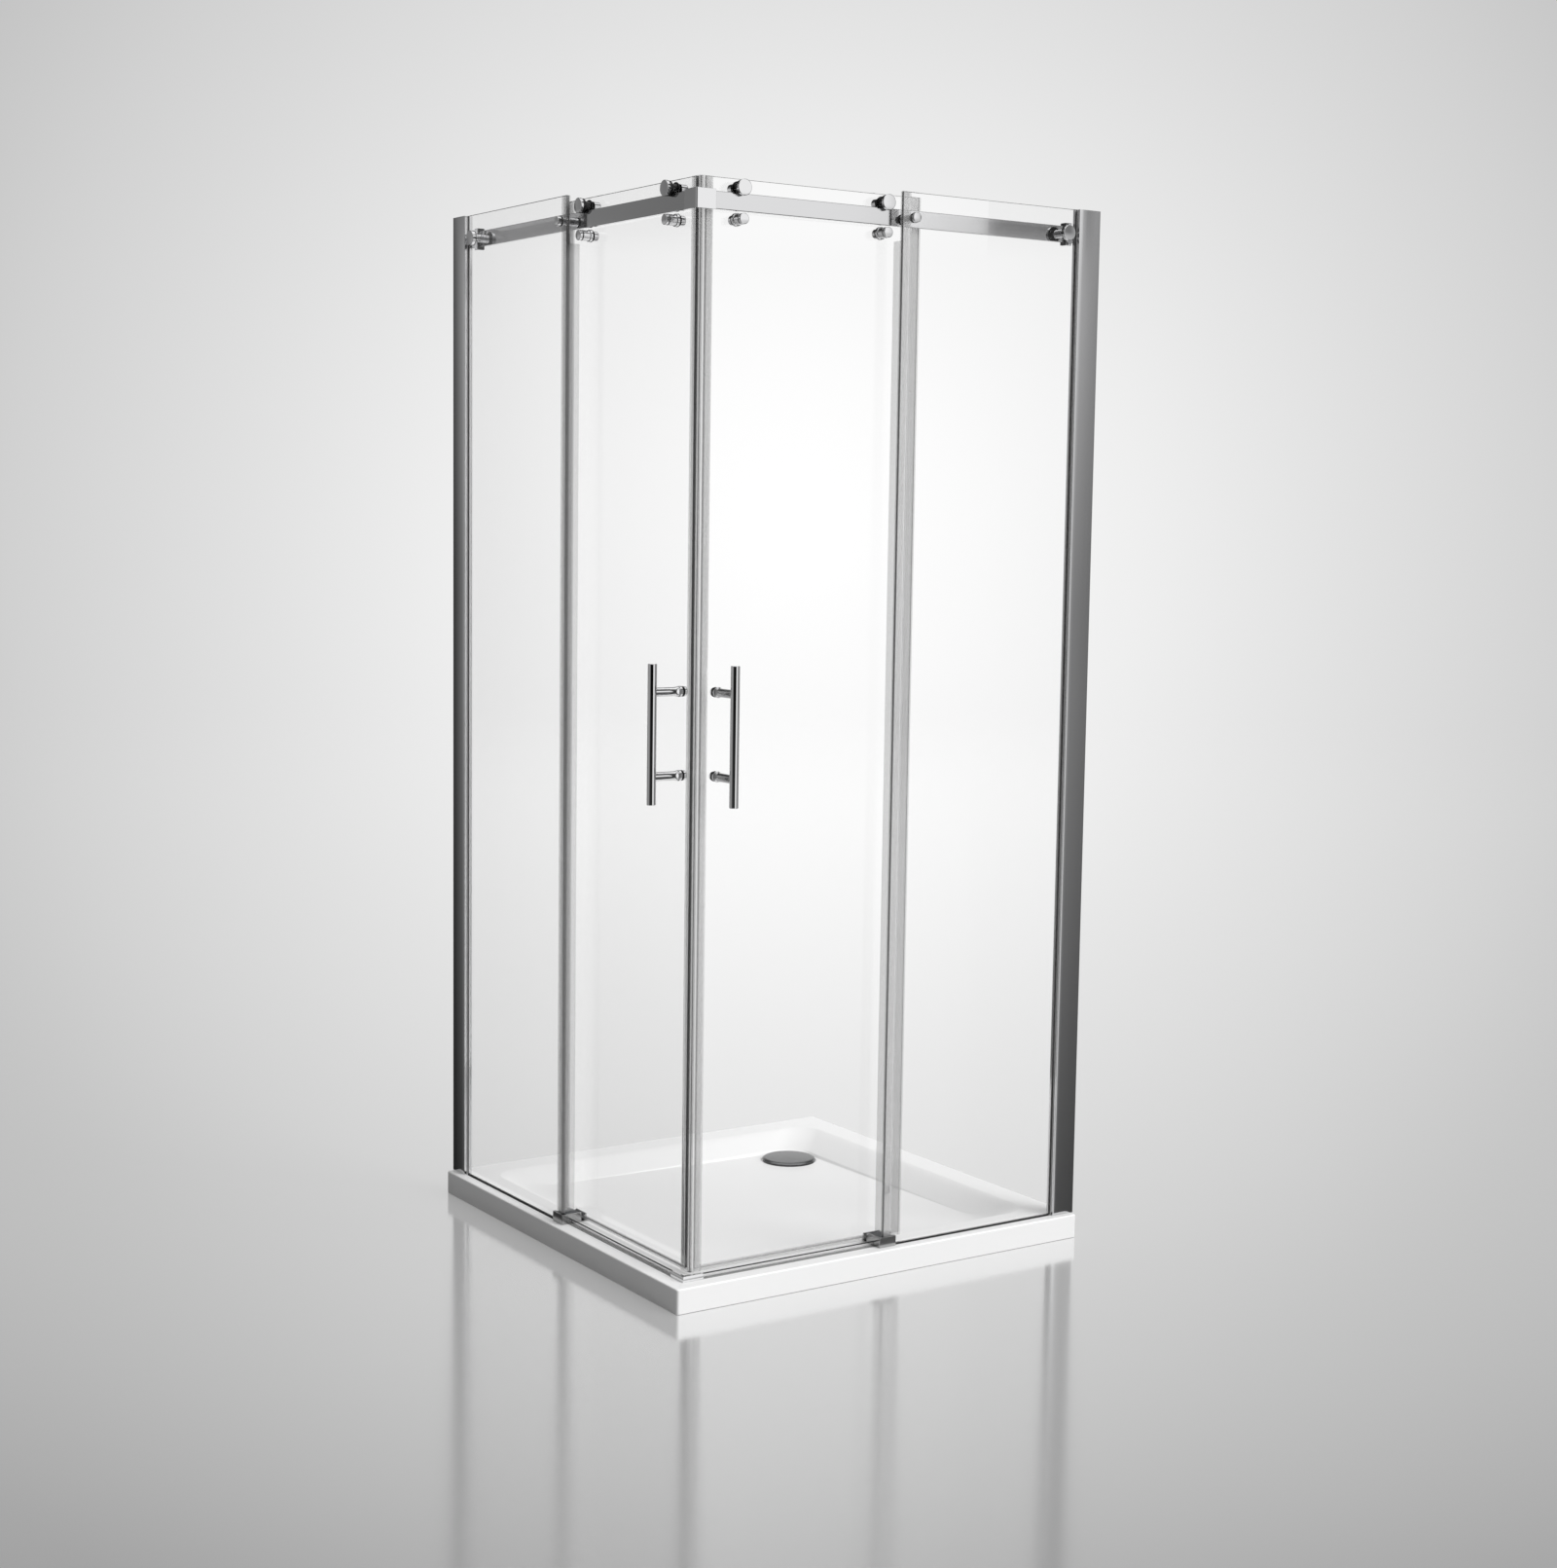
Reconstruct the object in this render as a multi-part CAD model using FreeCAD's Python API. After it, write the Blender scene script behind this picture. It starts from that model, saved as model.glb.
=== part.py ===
import FreeCAD, Part

import math
import os

from FreeCAD import Vector

# A square corner-entry shower screen on its low tray. Two fixed panes stand against the two walls,
# and two sliding doors hang inside them on flat rails and meet at the front corner.
#
# Every piece is drawn once, for the right-hand run. "along" is the distance from the front corner
# along that run, "depth" is the distance inward from the tray's outer edge, and height is from the
# floor. The left-hand run is the mirror image of the right-hand one across the tray's diagonal.
# All sizes are in millimetres.

# The tray
tray_side = 900.0
tray_height = 45.0
tray_corner_radius = 5.0
tray_edge_round = 3.0
rim_front = 80.0
rim_wall = 60.0
basin_slope_front = 25.0
basin_slope_wall = 75.0
basin_corner_radius = 50.0
basin_edge_round = 3.0
waste_floor_height = 19.0
floor_fall = 5.0
wall_gap = 4.0

# The glass panes and how far inward they stand
glass_thick = 6.0
glass_arris = 0.7
glass_hole_play = 1.0
fixed_set_in = 22.0
standoff_length = 15.0
rail_to_door = 6.0
screen_height = 1900.0
door_width = 444.0
pane_overlap = 60.0
door_top_drop = 3.0
door_lift = 10.0
sill_thick = 3.0

# The rail
rail_thick = 10.0
rail_height = 30.0
rail_top_drop = 29.0
rail_wall_gap = 32.0
rail_edge_round = 1.2

# The joint between the two door seals, measured square to the tray's diagonal
door_meeting_gap = 0.6
seal_nose = 7.0

# Clearances that several pieces share
shaft_play = 0.05
side_play = 0.5
touch_play = 0.3
cut_overrun = 1.0
tiny = 0.01

# The screws that pass through the glass, and the rollers' axles
screw_radius = 4.0
axle_radius = 4.0

full_turn = 360.0

# Planes that follow from the sizes above
wall = tray_side + wall_gap
fixed_out = fixed_set_in
fixed_in = fixed_out + glass_thick
fixed_mid = fixed_out + glass_thick / 2
rail_out = fixed_in + standoff_length
rail_in = rail_out + rail_thick
door_out = rail_in + rail_to_door
door_in = door_out + glass_thick
door_front = door_in + seal_nose
door_back = door_front + door_width
fixed_free_edge = door_back - pane_overlap
screen_top = tray_height + screen_height
door_top = screen_top - door_top_drop
door_bottom = tray_height + door_lift
rail_top = screen_top - rail_top_drop
rail_bottom = rail_top - rail_height
rail_mid = rail_top - rail_height / 2
rail_end = wall - rail_wall_gap

# The handle decides how far the whole screen reaches outward, and so where its middle is
handle_reach = 58.0
handle_bar_radius = 8.0
handle_depth = door_out - handle_reach
middle = (wall + handle_depth - handle_bar_radius) / 2


def mirrored(shape):
    """The same piece on the left-hand run."""
    return shape.mirror(Vector(0, 0, 0), Vector(1, -1, 0))


def export(name, solids):
    """Write one node, with the origin on the floor under the middle of the screen."""
    shape = solids[0].copy() if len(solids) == 1 else Part.makeCompound([s.copy() for s in solids])
    shape.translate(Vector(-middle, -middle, 0))
    shape.exportStep("parts/" + name + ".step")


def export_pair(name, solids):
    """Write a node for the right-hand run and its mirror image for the left-hand run."""
    export("right_" + name, solids)
    export("left_" + name, [mirrored(s) for s in solids])


def export_group(name, solids):
    """Write the like pieces of both runs as one node."""
    export(name, solids + [mirrored(s) for s in solids])


def block(along, depth, height):
    """Box between two planes in each direction."""
    corner = Vector(along[0], depth[0], height[0])
    return Part.makeBox(along[1] - along[0], depth[1] - depth[0], height[1] - height[0], corner)


def upright(outline, bottom, top):
    """Vertical extrusion of a plan outline of (along, depth) points."""
    points = [Vector(a, d, bottom) for a, d in outline]
    return Part.Face(Part.makePolygon(points + points[:1])).extrude(Vector(0, 0, top - bottom))


def lengthwise(outline, start, end):
    """Extrusion along the run of an outline of (depth, height) points."""
    points = [Vector(start, d, h) for d, h in outline]
    return Part.Face(Part.makePolygon(points + points[:1])).extrude(Vector(end - start, 0, 0))


def turned(outline, along, height):
    """Lathe-turned piece on an axis square to the glass, from (depth, radius) points."""
    points = [Vector(along, d, height + r) for d, r in outline]
    face = Part.Face(Part.makePolygon(points + points[:1]))
    return face.revolve(Vector(along, 0, height), Vector(0, 1, 0), full_turn)


def turned_upright(outline, place):
    """Lathe-turned piece on a vertical axis, from (radius, height) points."""
    points = [Vector(place + r, place, h) for r, h in outline]
    face = Part.Face(Part.makePolygon(points + points[:1]))
    return face.revolve(Vector(place, place, 0), Vector(0, 0, 1), full_turn)


def drilled(pane, along, height, radius):
    """The pane with a hole through it."""
    box = pane.BoundBox
    start = box.YMin - cut_overrun
    length = box.YLength + cut_overrun * 2
    return pane.cut(Part.makeCylinder(radius, length, Vector(along, start, height), Vector(0, 1, 0)))


def glass_pane(along, depth, height):
    """Toughened pane with ground arrises all round."""
    pane = block(along, depth, height)
    return pane.makeChamfer(glass_arris, pane.Edges)


def round_long_edges(solid, radius):
    """Round the edges that run the whole length of a straight bar."""
    length = solid.BoundBox.XLength
    edges = [e for e in solid.Edges if e.BoundBox.XLength > length - tiny]
    return solid.makeFillet(radius, edges)


# The tray: a slab of cast resin with a sunk basin. The basin's walls slope, steep under the doors
# and gentle towards the walls, and its floor has four gentle falls that meet at the waste.
waste_from_wall = 200.0
waste_hole_radius = 45.0
rebate_radius = 58.0
rebate_depth = 5.0
underside_pocket_radius = 66.0
underside_pocket_depth = 8.0

waste_place = tray_side - waste_from_wall
rebate_floor = waste_floor_height - rebate_depth


def level_square(low, high, height):
    """Corners of a level square in plan."""
    return [Vector(low, low, height), Vector(high, low, height), Vector(high, high, height),
            Vector(low, high, height)]


def hull_of_rings(rings):
    """Solid between level rings of four corners each; a ring of one point makes a pyramid's tip."""
    faces = []
    for lower, upper in zip(rings, rings[1:]):
        for number in range(len(upper)):
            after = (number + 1) % len(upper)
            foot = [lower[number % len(lower)], lower[after % len(lower)]]
            corners = foot[:len(lower)] + [upper[after], upper[number]]
            faces.append(Part.Face(Part.makePolygon(corners + corners[:1])))
    for ring in (rings[0], rings[-1]):
        if len(ring) > 1:
            faces.append(Part.Face(Part.makePolygon(ring + ring[:1])))
    return Part.makeSolid(Part.makeShell(faces))


def basin():
    """The room that is taken out of the slab."""
    low = rim_front
    high = tray_side - rim_wall
    foot = level_square(low + basin_slope_front, high - basin_slope_wall, waste_floor_height)
    walls = hull_of_rings([foot, level_square(low, high, tray_height)])
    walls = walls.makeFillet(basin_corner_radius, [e for e in walls.Edges if e.BoundBox.ZLength > floor_fall])
    tip = [Vector(waste_place, waste_place, waste_floor_height)]
    above_floor = hull_of_rings([tip, level_square(low, high, waste_floor_height + floor_fall),
                                 level_square(low, high, tray_height)])
    return walls.common(above_floor)


def shower_tray():
    slab = Part.makeBox(tray_side, tray_side, tray_height)
    corners = [e for e in slab.Edges if e.BoundBox.ZLength > tray_height - tiny]
    slab = slab.makeFillet(tray_corner_radius, corners)
    slab = slab.makeFillet(tray_edge_round, [e for e in slab.Edges if e.BoundBox.ZMin > tray_height - tiny])
    tray = slab.cut(basin())
    low = rim_front - tiny
    high = tray_side - rim_wall + tiny
    mouth = [e for e in tray.Edges if e.BoundBox.ZMin > tray_height - tiny and e.BoundBox.XMin > low
             and e.BoundBox.XMax < high and e.BoundBox.YMin > low and e.BoundBox.YMax < high]
    tray = tray.makeFillet(basin_edge_round, mouth)

    axis_foot = Vector(waste_place, waste_place, 0)
    hole = Part.makeCylinder(waste_hole_radius, tray_height, axis_foot)
    pocket = Part.makeCylinder(underside_pocket_radius, underside_pocket_depth, axis_foot)
    rebate_foot = Vector(waste_place, waste_place, rebate_floor)
    rebate = Part.makeCylinder(rebate_radius, tray_height - rebate_floor, rebate_foot)
    return tray.cut(hole.fuse([pocket, rebate]))


# The waste: a chrome flange on a rubber ring in the tray's rebate, with a sleeve through the tray.
# Its cover stands on three feet, so that water runs in under its rim, and carries the hair strainer.
flange_radius = 57.0
flange_thick = 3.0
gasket_thick = 1.5
sleeve_radius = 43.5
sleeve_wall = 3.5
sleeve_lift = 2.0
trap_socket_depth = 6.5
trap_socket_wall = 2.0
cover_radius = 56.0
cover_thick = 5.0
cover_bevel = 4.0
cover_bevel_drop = 2.0
water_gap = 2.5
foot_width = 5.0
foot_inset = 10.0
foot_count = 3
stem_radius = 4.0
strainer_play = 1.5
strainer_drop = 7.0
strainer_wall = 2.0
strainer_rim = 5.0
strainer_boss_radius = 12.0
strainer_slot_width = 3.0
strainer_slot_count = 12

sleeve_bore = sleeve_radius - sleeve_wall
flange_bottom = rebate_floor + gasket_thick
flange_top = flange_bottom + flange_thick
cover_bottom = flange_top + water_gap
strainer_radius = sleeve_bore - strainer_play
strainer_top = flange_top - strainer_drop
strainer_bottom = strainer_top - strainer_wall


def drain_flange():
    """Ring and sleeve; the sleeve's lower end opens out to take the trap from below."""
    socket = sleeve_radius - trap_socket_wall
    socket_top = sleeve_lift + trap_socket_depth
    return turned_upright([(socket, sleeve_lift), (sleeve_radius, sleeve_lift),
                           (sleeve_radius, flange_bottom), (flange_radius, flange_bottom),
                           (flange_radius, flange_top), (sleeve_bore, flange_top),
                           (sleeve_bore, socket_top), (socket, socket_top)], waste_place)


def drain_gasket():
    ring = [(waste_hole_radius, rebate_floor), (flange_radius, rebate_floor),
            (flange_radius, flange_bottom), (waste_hole_radius, flange_bottom)]
    return turned_upright(ring, waste_place)


def drain_cover():
    """Thick round plate with a bevelled shoulder, three feet and a stem."""
    crown = cover_bottom + cover_thick
    plate = turned_upright([(0, crown), (cover_radius - cover_bevel, crown),
                            (cover_radius, crown - cover_bevel_drop), (cover_radius, cover_bottom),
                            (0, cover_bottom)], waste_place)
    axis_foot = Vector(waste_place, waste_place, strainer_bottom)
    legs = [Part.makeCylinder(stem_radius, cover_bottom + tiny - strainer_bottom, axis_foot)]
    for number in range(foot_count):
        corner = Vector(waste_place + cover_radius - foot_inset, waste_place - foot_width / 2, flange_top)
        foot = Part.makeBox(foot_width, foot_width, cover_bottom + tiny - flange_top, corner)
        foot.rotate(axis_foot, Vector(0, 0, 1), full_turn * number / foot_count)
        legs.append(foot)
    return plate.fuse(legs).removeSplitter()


def hair_strainer():
    """Sieve plate pressed on the cover's stem, with slots all round."""
    plate = turned_upright([(stem_radius + shaft_play, strainer_bottom), (strainer_radius, strainer_bottom),
                            (strainer_radius, strainer_top), (stem_radius + shaft_play, strainer_top)],
                           waste_place)
    middle_of_waste = Vector(waste_place, waste_place, 0)
    slots = []
    for number in range(strainer_slot_count):
        corner = Vector(waste_place + strainer_boss_radius, waste_place - strainer_slot_width / 2,
                        strainer_bottom - cut_overrun)
        slot = Part.makeBox(strainer_radius - strainer_rim - strainer_boss_radius, strainer_slot_width,
                            strainer_wall + cut_overrun * 2, corner)
        slot.rotate(middle_of_waste, Vector(0, 0, 1), full_turn * number / strainer_slot_count)
        slots.append(slot)
    return plate.cut(slots)


# The wall fixing: a plain channel is screwed to the wall, and the cover profile that holds the glass
# slides over it and is set plumb. A clear gasket grips the glass, and a plug closes the top end.
profile_width = 20.0
profile_wall = 1.6
profile_reach_out = 46.0
profile_reach_in = 55.0
profile_step = 4.0
lip_drop = 2.0
lip_thick = 1.6
web_from_wall = 28.0
glass_edge_play = 2.0
gasket_show = 3.0
gasket_lip = 1.5
channel_play = 0.4
channel_wall = 1.6
channel_depth = 24.0
channel_screw_radius = 2.75
channel_screw_count = 4
channel_screw_end = 100.0
plug_length = 12.0
plug_wall = 2.0

profile_out = fixed_mid - profile_width / 2
profile_in = fixed_mid + profile_width / 2
nose_out = wall - profile_reach_out
nose_in = wall - profile_reach_in
web = wall - web_from_wall
fixed_glass_end = web - glass_edge_play
pocket_out = profile_out + profile_wall
pocket_in = profile_in - profile_wall
channel_top = screen_top - plug_length


def wall_channel():
    out = pocket_out + channel_play
    inn = pocket_in - channel_play
    tip = wall - channel_depth
    section = [(wall, out), (wall, inn), (tip, inn), (tip, inn - channel_wall),
               (wall - channel_wall, inn - channel_wall), (wall - channel_wall, out + channel_wall),
               (tip, out + channel_wall), (tip, out)]
    channel = upright(section, tray_height, channel_top)
    first = tray_height + channel_screw_end
    last = channel_top - channel_screw_end
    step = (last - first) / (channel_screw_count - 1)
    start = wall - channel_wall - cut_overrun
    length = channel_wall + cut_overrun * 2
    holes = []
    for number in range(channel_screw_count):
        foot = Vector(start, fixed_mid, first + step * number)
        holes.append(Part.makeCylinder(channel_screw_radius, length, foot, Vector(1, 0, 0)))
    return channel.cut(holes)


def wall_profile():
    """H-shaped extrusion: one mouth over the wall channel, the other round the glass."""
    lip_out = fixed_out - gasket_lip
    lip_in = fixed_in + gasket_lip
    web_wall_side = web + profile_wall
    section = [(wall, profile_out), (nose_out + profile_step, profile_out),
               (nose_out, profile_out + lip_drop), (nose_out, lip_out), (nose_out + lip_thick, lip_out),
               (nose_out + lip_thick, pocket_out + lip_drop / 2), (nose_out + profile_step, pocket_out),
               (web, pocket_out), (web, pocket_in), (nose_in + lip_thick, pocket_in),
               (nose_in + lip_thick, lip_in), (nose_in, lip_in), (nose_in, profile_in - lip_drop / 2),
               (nose_in + lip_drop / 2, profile_in), (wall, profile_in), (wall, pocket_in),
               (web_wall_side, pocket_in), (web_wall_side, pocket_out), (wall, pocket_out)]
    return upright(section, tray_height, screen_top)


def glazing_gasket():
    """Rubber section pressed in round the edge of the pane, with a lip that shows past the profile."""
    lip_out = fixed_out - gasket_lip
    lip_in = fixed_in + gasket_lip
    section = [(nose_out - gasket_show, fixed_out), (nose_out - gasket_show, fixed_out - gasket_lip / 2),
               (nose_out, lip_out), (nose_out + lip_thick, lip_out),
               (nose_out + lip_thick, pocket_out + lip_drop / 2), (nose_out + profile_step, pocket_out),
               (web, pocket_out), (web, pocket_in), (nose_in + lip_thick, pocket_in),
               (nose_in + lip_thick, lip_in), (nose_in, lip_in), (nose_in, fixed_in),
               (fixed_glass_end, fixed_in), (fixed_glass_end, fixed_out)]
    return upright(section, tray_height, screen_top)


def profile_plug():
    """Moulded plug flush with the top of the wall profile, hollow from below."""
    along = (web + profile_wall, wall)
    depth = (pocket_out, pocket_in)
    plug = block(along, depth, (channel_top, screen_top))
    hollow = block((along[0] + plug_wall, along[1] - plug_wall), (depth[0] + plug_wall, depth[1] - plug_wall),
                   (channel_top - cut_overrun, screen_top - plug_wall))
    return plug.cut(hollow)


# The fixed pane: it stands on a sill gasket, is gripped by the wall profile, and carries the rail on
# two standoffs. Its free edge wears a clear seal whose long fin closes the gap to the door.
standoff_from_edge = 25.0
standoff_from_wall = 74.0
standoff_cap_radius = 8.75
standoff_wall_cap_radius = 14.0
standoff_cap_thick = 8.0
standoff_chamfer = 1.0
standoff_sleeve_radius = 8.0
seal_wall = 1.2
edge_seal_wall = 1.5
edge_seal_leg = 16.0
fin_thick = 1.2
fin_tip_gap = 0.6
fin_lift = 2.0
fin_top_gap = 2.2
sill_lip = 1.5

standoff_places = [(fixed_free_edge + standoff_from_edge, standoff_cap_radius),
                   (wall - standoff_from_wall, standoff_wall_cap_radius)]
glass_hole_radius = screw_radius + glass_hole_play


def fixed_glass():
    pane = glass_pane((fixed_free_edge, fixed_glass_end), (fixed_out, fixed_in),
                      (tray_height + sill_thick, screen_top))
    for place, _ in standoff_places:
        pane = drilled(pane, place, rail_mid, glass_hole_radius)
    return pane


def edge_seal():
    """Clear U-section on the free edge, cut off above the floor clip, with its fin."""
    out = fixed_out - seal_wall
    inn = fixed_in + seal_wall
    base = fixed_free_edge - edge_seal_wall
    tip = fixed_free_edge + edge_seal_leg
    section = [(base, out), (tip, out), (tip, fixed_out), (fixed_free_edge, fixed_out),
               (fixed_free_edge, fixed_in), (tip, fixed_in), (tip, inn), (base, inn)]
    grip = upright(section, clip_top + touch_play, screen_top)
    fin = block((base, base + fin_thick), (fixed_in, door_out - fin_tip_gap),
                (clip_top + fin_lift, stud_height - stud_flange_radius - fin_top_gap))
    return grip.fuse(fin).removeSplitter()


def sill_seal():
    """Dark strip that beds the pane on the tray."""
    section = [(fixed_out - sill_lip, tray_height), (fixed_out, tray_height + sill_thick),
               (fixed_in, tray_height + sill_thick), (fixed_in + sill_lip, tray_height)]
    return lengthwise(section, clip_end, nose_in)


def standoff_cap(place, radius):
    """Outer cap, screwed to the sleeve through the pane."""
    face = fixed_out - standoff_cap_thick
    return turned([(face, 0), (face, radius - standoff_chamfer), (face + standoff_chamfer, radius),
                   (fixed_out, radius), (fixed_out, 0)], place, rail_mid)


def standoff_sleeve(place):
    """Turned bar that keeps the rail its distance from the pane."""
    return turned([(fixed_in, 0), (fixed_in, standoff_sleeve_radius), (rail_out, standoff_sleeve_radius),
                   (rail_out, 0)], place, rail_mid)


# The rails: polished flat bars on edge. A block joins them at the front corner, and near the wall
# each carries a stop with a rubber pad for the roller.
corner_wall = 2.0
corner_top_wall = 3.0
corner_bottom_wall = 0.8
corner_arm = 25.0
corner_outer_round = 3.0
stop_from_wall = 49.0
stop_length = 13.0
stop_top_wall = 6.0
stop_bottom_wall = 5.0
stop_side_wall = 2.0
stop_pad_thick = 3.0
stop_round = 1.5
pad_inset = 0.5

corner_out = rail_out - corner_wall
corner_in = rail_in + corner_wall
corner_end = corner_in + corner_arm
rail_start = corner_end - (corner_arm - touch_play)
stop_end = wall - stop_from_wall
stop_start = stop_end - stop_length


def rail():
    bar = block((rail_start, rail_end), (rail_out, rail_in), (rail_bottom, rail_top))
    return round_long_edges(bar, rail_edge_round)


def rail_space(start, end):
    """The room that the rail's bar takes inside the pieces on it."""
    return block((start, end), (rail_out, rail_in), (rail_bottom, rail_top))


def rail_corner_block():
    plan = [(corner_out, corner_out), (corner_end, corner_out), (corner_end, corner_in),
            (corner_in, corner_in), (corner_in, corner_end), (corner_out, corner_end)]
    body = upright(plan, rail_bottom - corner_bottom_wall, rail_top + corner_top_wall)
    nose = [e for e in body.Edges if max(e.BoundBox.XMax, e.BoundBox.YMax) < corner_out + tiny]
    body = body.makeFillet(corner_outer_round, nose)
    socket = rail_space(rail_start, corner_end + cut_overrun)
    return body.cut([socket, mirrored(socket)])


def rail_stop():
    """Clamp round the rail, closed above and below it."""
    body = block((stop_start, stop_end), (rail_out - stop_side_wall, rail_in + stop_side_wall),
                 (rail_bottom - stop_bottom_wall, rail_top + stop_top_wall))
    body = round_long_edges(body, stop_round)
    return body.cut(rail_space(stop_start - cut_overrun, stop_end + cut_overrun))


def stop_pad():
    pad = block((stop_start - stop_pad_thick, stop_start),
                (rail_out - stop_side_wall + pad_inset, rail_in + stop_side_wall - pad_inset),
                (rail_bottom - stop_bottom_wall + pad_inset, rail_top + stop_top_wall - pad_inset))
    return pad.cut(rail_space(stop_start - stop_pad_thick - cut_overrun, stop_start + cut_overrun))


# The floor clip: a chrome bracket that holds the foot of the fixed pane and keeps the door's lower
# edge in line between two plastic faces.
clip_length = 37.0
clip_ahead = 13.0
clip_plate = 4.0
clip_web = 3.0
clip_base = 2.5
clip_height = 19.0
clip_inner_height = 16.0
clip_inner_plate = 3.5
clip_gasket_thick = 2.0
clip_pad_thick = 1.8
guide_play = 0.5
insert_drop = 2.0
insert_end_gap = 1.0
clip_round = 1.0

clip_start = fixed_free_edge - clip_ahead
clip_end = clip_start + clip_length
clip_top = tray_height + clip_height
clip_inner_top = tray_height + clip_inner_height
clip_floor = tray_height + clip_base
clip_out = fixed_out - clip_gasket_thick - clip_plate
door_face_out = door_out - seal_wall
door_face_in = door_in + seal_wall
insert_in = door_face_out - guide_play
pad_out = door_face_in + guide_play
clip_inner_out = pad_out + clip_pad_thick
clip_inner_in = clip_inner_out + clip_inner_plate


def guide_clip():
    along = (clip_start, clip_end)
    outer = block(along, (clip_out, clip_out + clip_plate), (tray_height, clip_top))
    front = block((clip_start, clip_start + clip_web), (clip_out, insert_in), (tray_height, clip_top))
    base = block(along, (clip_out, clip_inner_in), (tray_height, clip_floor))
    inner = block(along, (clip_inner_out, clip_inner_in), (tray_height, clip_inner_top))
    clip = outer.fuse([front, base, inner]).removeSplitter()
    corner = [e for e in clip.Edges
              if e.BoundBox.ZLength > clip_height - tiny and e.BoundBox.YMax < clip_out + tiny]
    return clip.makeFillet(clip_round, corner)


def clip_gasket():
    """Soft strip between the clip's outer plate and the pane, turned under the pane's edge."""
    glass_foot = tray_height + sill_thick
    section = [(clip_out + clip_plate, clip_floor), (fixed_in, clip_floor), (fixed_in, glass_foot),
               (fixed_out, glass_foot), (fixed_out, clip_top), (clip_out + clip_plate, clip_top)]
    return lengthwise(section, fixed_free_edge, clip_end)


def guide_inserts():
    """Plastic block between pane and door, and the thin pad on the inner plate."""
    along = (clip_start + clip_web, clip_end - insert_end_gap)
    spacer = block((fixed_free_edge, along[1]), (fixed_in, insert_in), (clip_floor, clip_top - insert_drop))
    lead = block((along[0], fixed_free_edge), (fixed_in, insert_in), (clip_floor, clip_top - insert_drop))
    pad = block(along, (pad_out, clip_inner_out), (clip_floor, clip_inner_top - insert_drop / 2))
    return [spacer.fuse(lead).removeSplitter(), pad]


# The water bar: a low strip stuck to the tray's rim outside the doors, with a corner connector.
bar_set_in = 30.5
bar_foot = 11.5
bar_height = 9.0
bar_crest = 5.0
bar_lead_in = 2.0
bar_riser = 5.0
connector_wall = 1.0
connector_arm = 29.0


def bar_section(grown):
    """Outline of the bar, made larger all round for the connector that laps over it."""
    out = bar_set_in - grown
    inn = bar_set_in + bar_foot + grown
    top = tray_height + bar_height + grown
    crest_start = out + bar_lead_in
    crest_end = crest_start + bar_crest + grown
    return [(out, tray_height), (out, tray_height + bar_riser), (crest_start, top), (crest_end, top),
            (inn, tray_height)]


def water_bar():
    return lengthwise(bar_section(0), bar_set_in + bar_foot + connector_wall, clip_start)


def water_bar_corner():
    """L-shaped cap, mitred on the diagonal, that laps over the ends of both bars."""
    out = bar_set_in - connector_wall
    end = bar_set_in + bar_foot + connector_arm + connector_wall
    arm = lengthwise(bar_section(connector_wall), out, end)
    half_plan = upright([(0, 0), (end * 2, 0), (end * 2, end * 2)], tray_height - cut_overrun,
                        tray_height + bar_height + connector_wall + cut_overrun)
    arm = arm.common(half_plan)
    tunnel = lengthwise(bar_section(0), bar_set_in + bar_foot + connector_wall, end + cut_overrun)
    return arm.fuse(mirrored(arm)).removeSplitter().cut([tunnel, mirrored(tunnel)])


# The rollers: each axle is clamped through the door's glass and carries a black grooved wheel that
# runs on the rail, with a chrome cap outside.
roller_from_front = 59.0
roller_from_back = 84.0
wheel_groove_radius = 8.9
wheel_outer_radius = 13.0
wheel_inner_radius = 11.7
wheel_outer_flange = 5.5
wheel_inner_flange = 2.5
wheel_cap_gap = 0.5
roller_cap_radius = 13.75
roller_cap_thick = 5.5
roller_cap_chamfer = 1.0
axle_collar_radius = 8.0
axle_collar_gap = 0.3
inner_cap_radius = 8.5
roller_inner_cap = 15.0
stud_inner_cap = 11.0
handle_inner_cap = 7.5

roller_places = [door_front + roller_from_front, door_back - roller_from_back]
roller_height = rail_top + touch_play + wheel_groove_radius
wheel_groove_out = rail_out - side_play
wheel_groove_in = rail_in + side_play
wheel_out = wheel_groove_out - wheel_outer_flange
wheel_in = wheel_groove_in + wheel_inner_flange
roller_cap_in = wheel_out - wheel_cap_gap
roller_cap_out = roller_cap_in - roller_cap_thick
axle_collar_out = wheel_in + axle_collar_gap


def wheel(along):
    """Wheel with a flat-bottomed groove between a deep outer flange and a shallower inner one."""
    bore = axle_radius + shaft_play
    section = [(wheel_out, bore), (wheel_out, wheel_outer_radius),
               (wheel_groove_out, wheel_outer_radius), (wheel_groove_out, wheel_groove_radius),
               (wheel_groove_in, wheel_groove_radius), (wheel_groove_in, wheel_inner_radius),
               (wheel_in, wheel_inner_radius), (wheel_in, bore)]
    return turned(section, along, roller_height)


def roller_axle(along):
    """Axle from the roller's cap to the glass, with the collar that clamps the glass."""
    section = [(roller_cap_in, 0), (roller_cap_in, axle_radius), (axle_collar_out, axle_radius),
               (axle_collar_out, axle_collar_radius), (door_out, axle_collar_radius), (door_out, 0)]
    return turned(section, along, roller_height)


def roller_cap(along):
    """Disc with a chamfered face that hides the wheel's hub."""
    section = [(roller_cap_out, 0), (roller_cap_out, roller_cap_radius - roller_cap_chamfer),
               (roller_cap_out + roller_cap_chamfer, roller_cap_radius), (roller_cap_in, roller_cap_radius),
               (roller_cap_in, 0)]
    return turned(section, along, roller_height)


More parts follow.
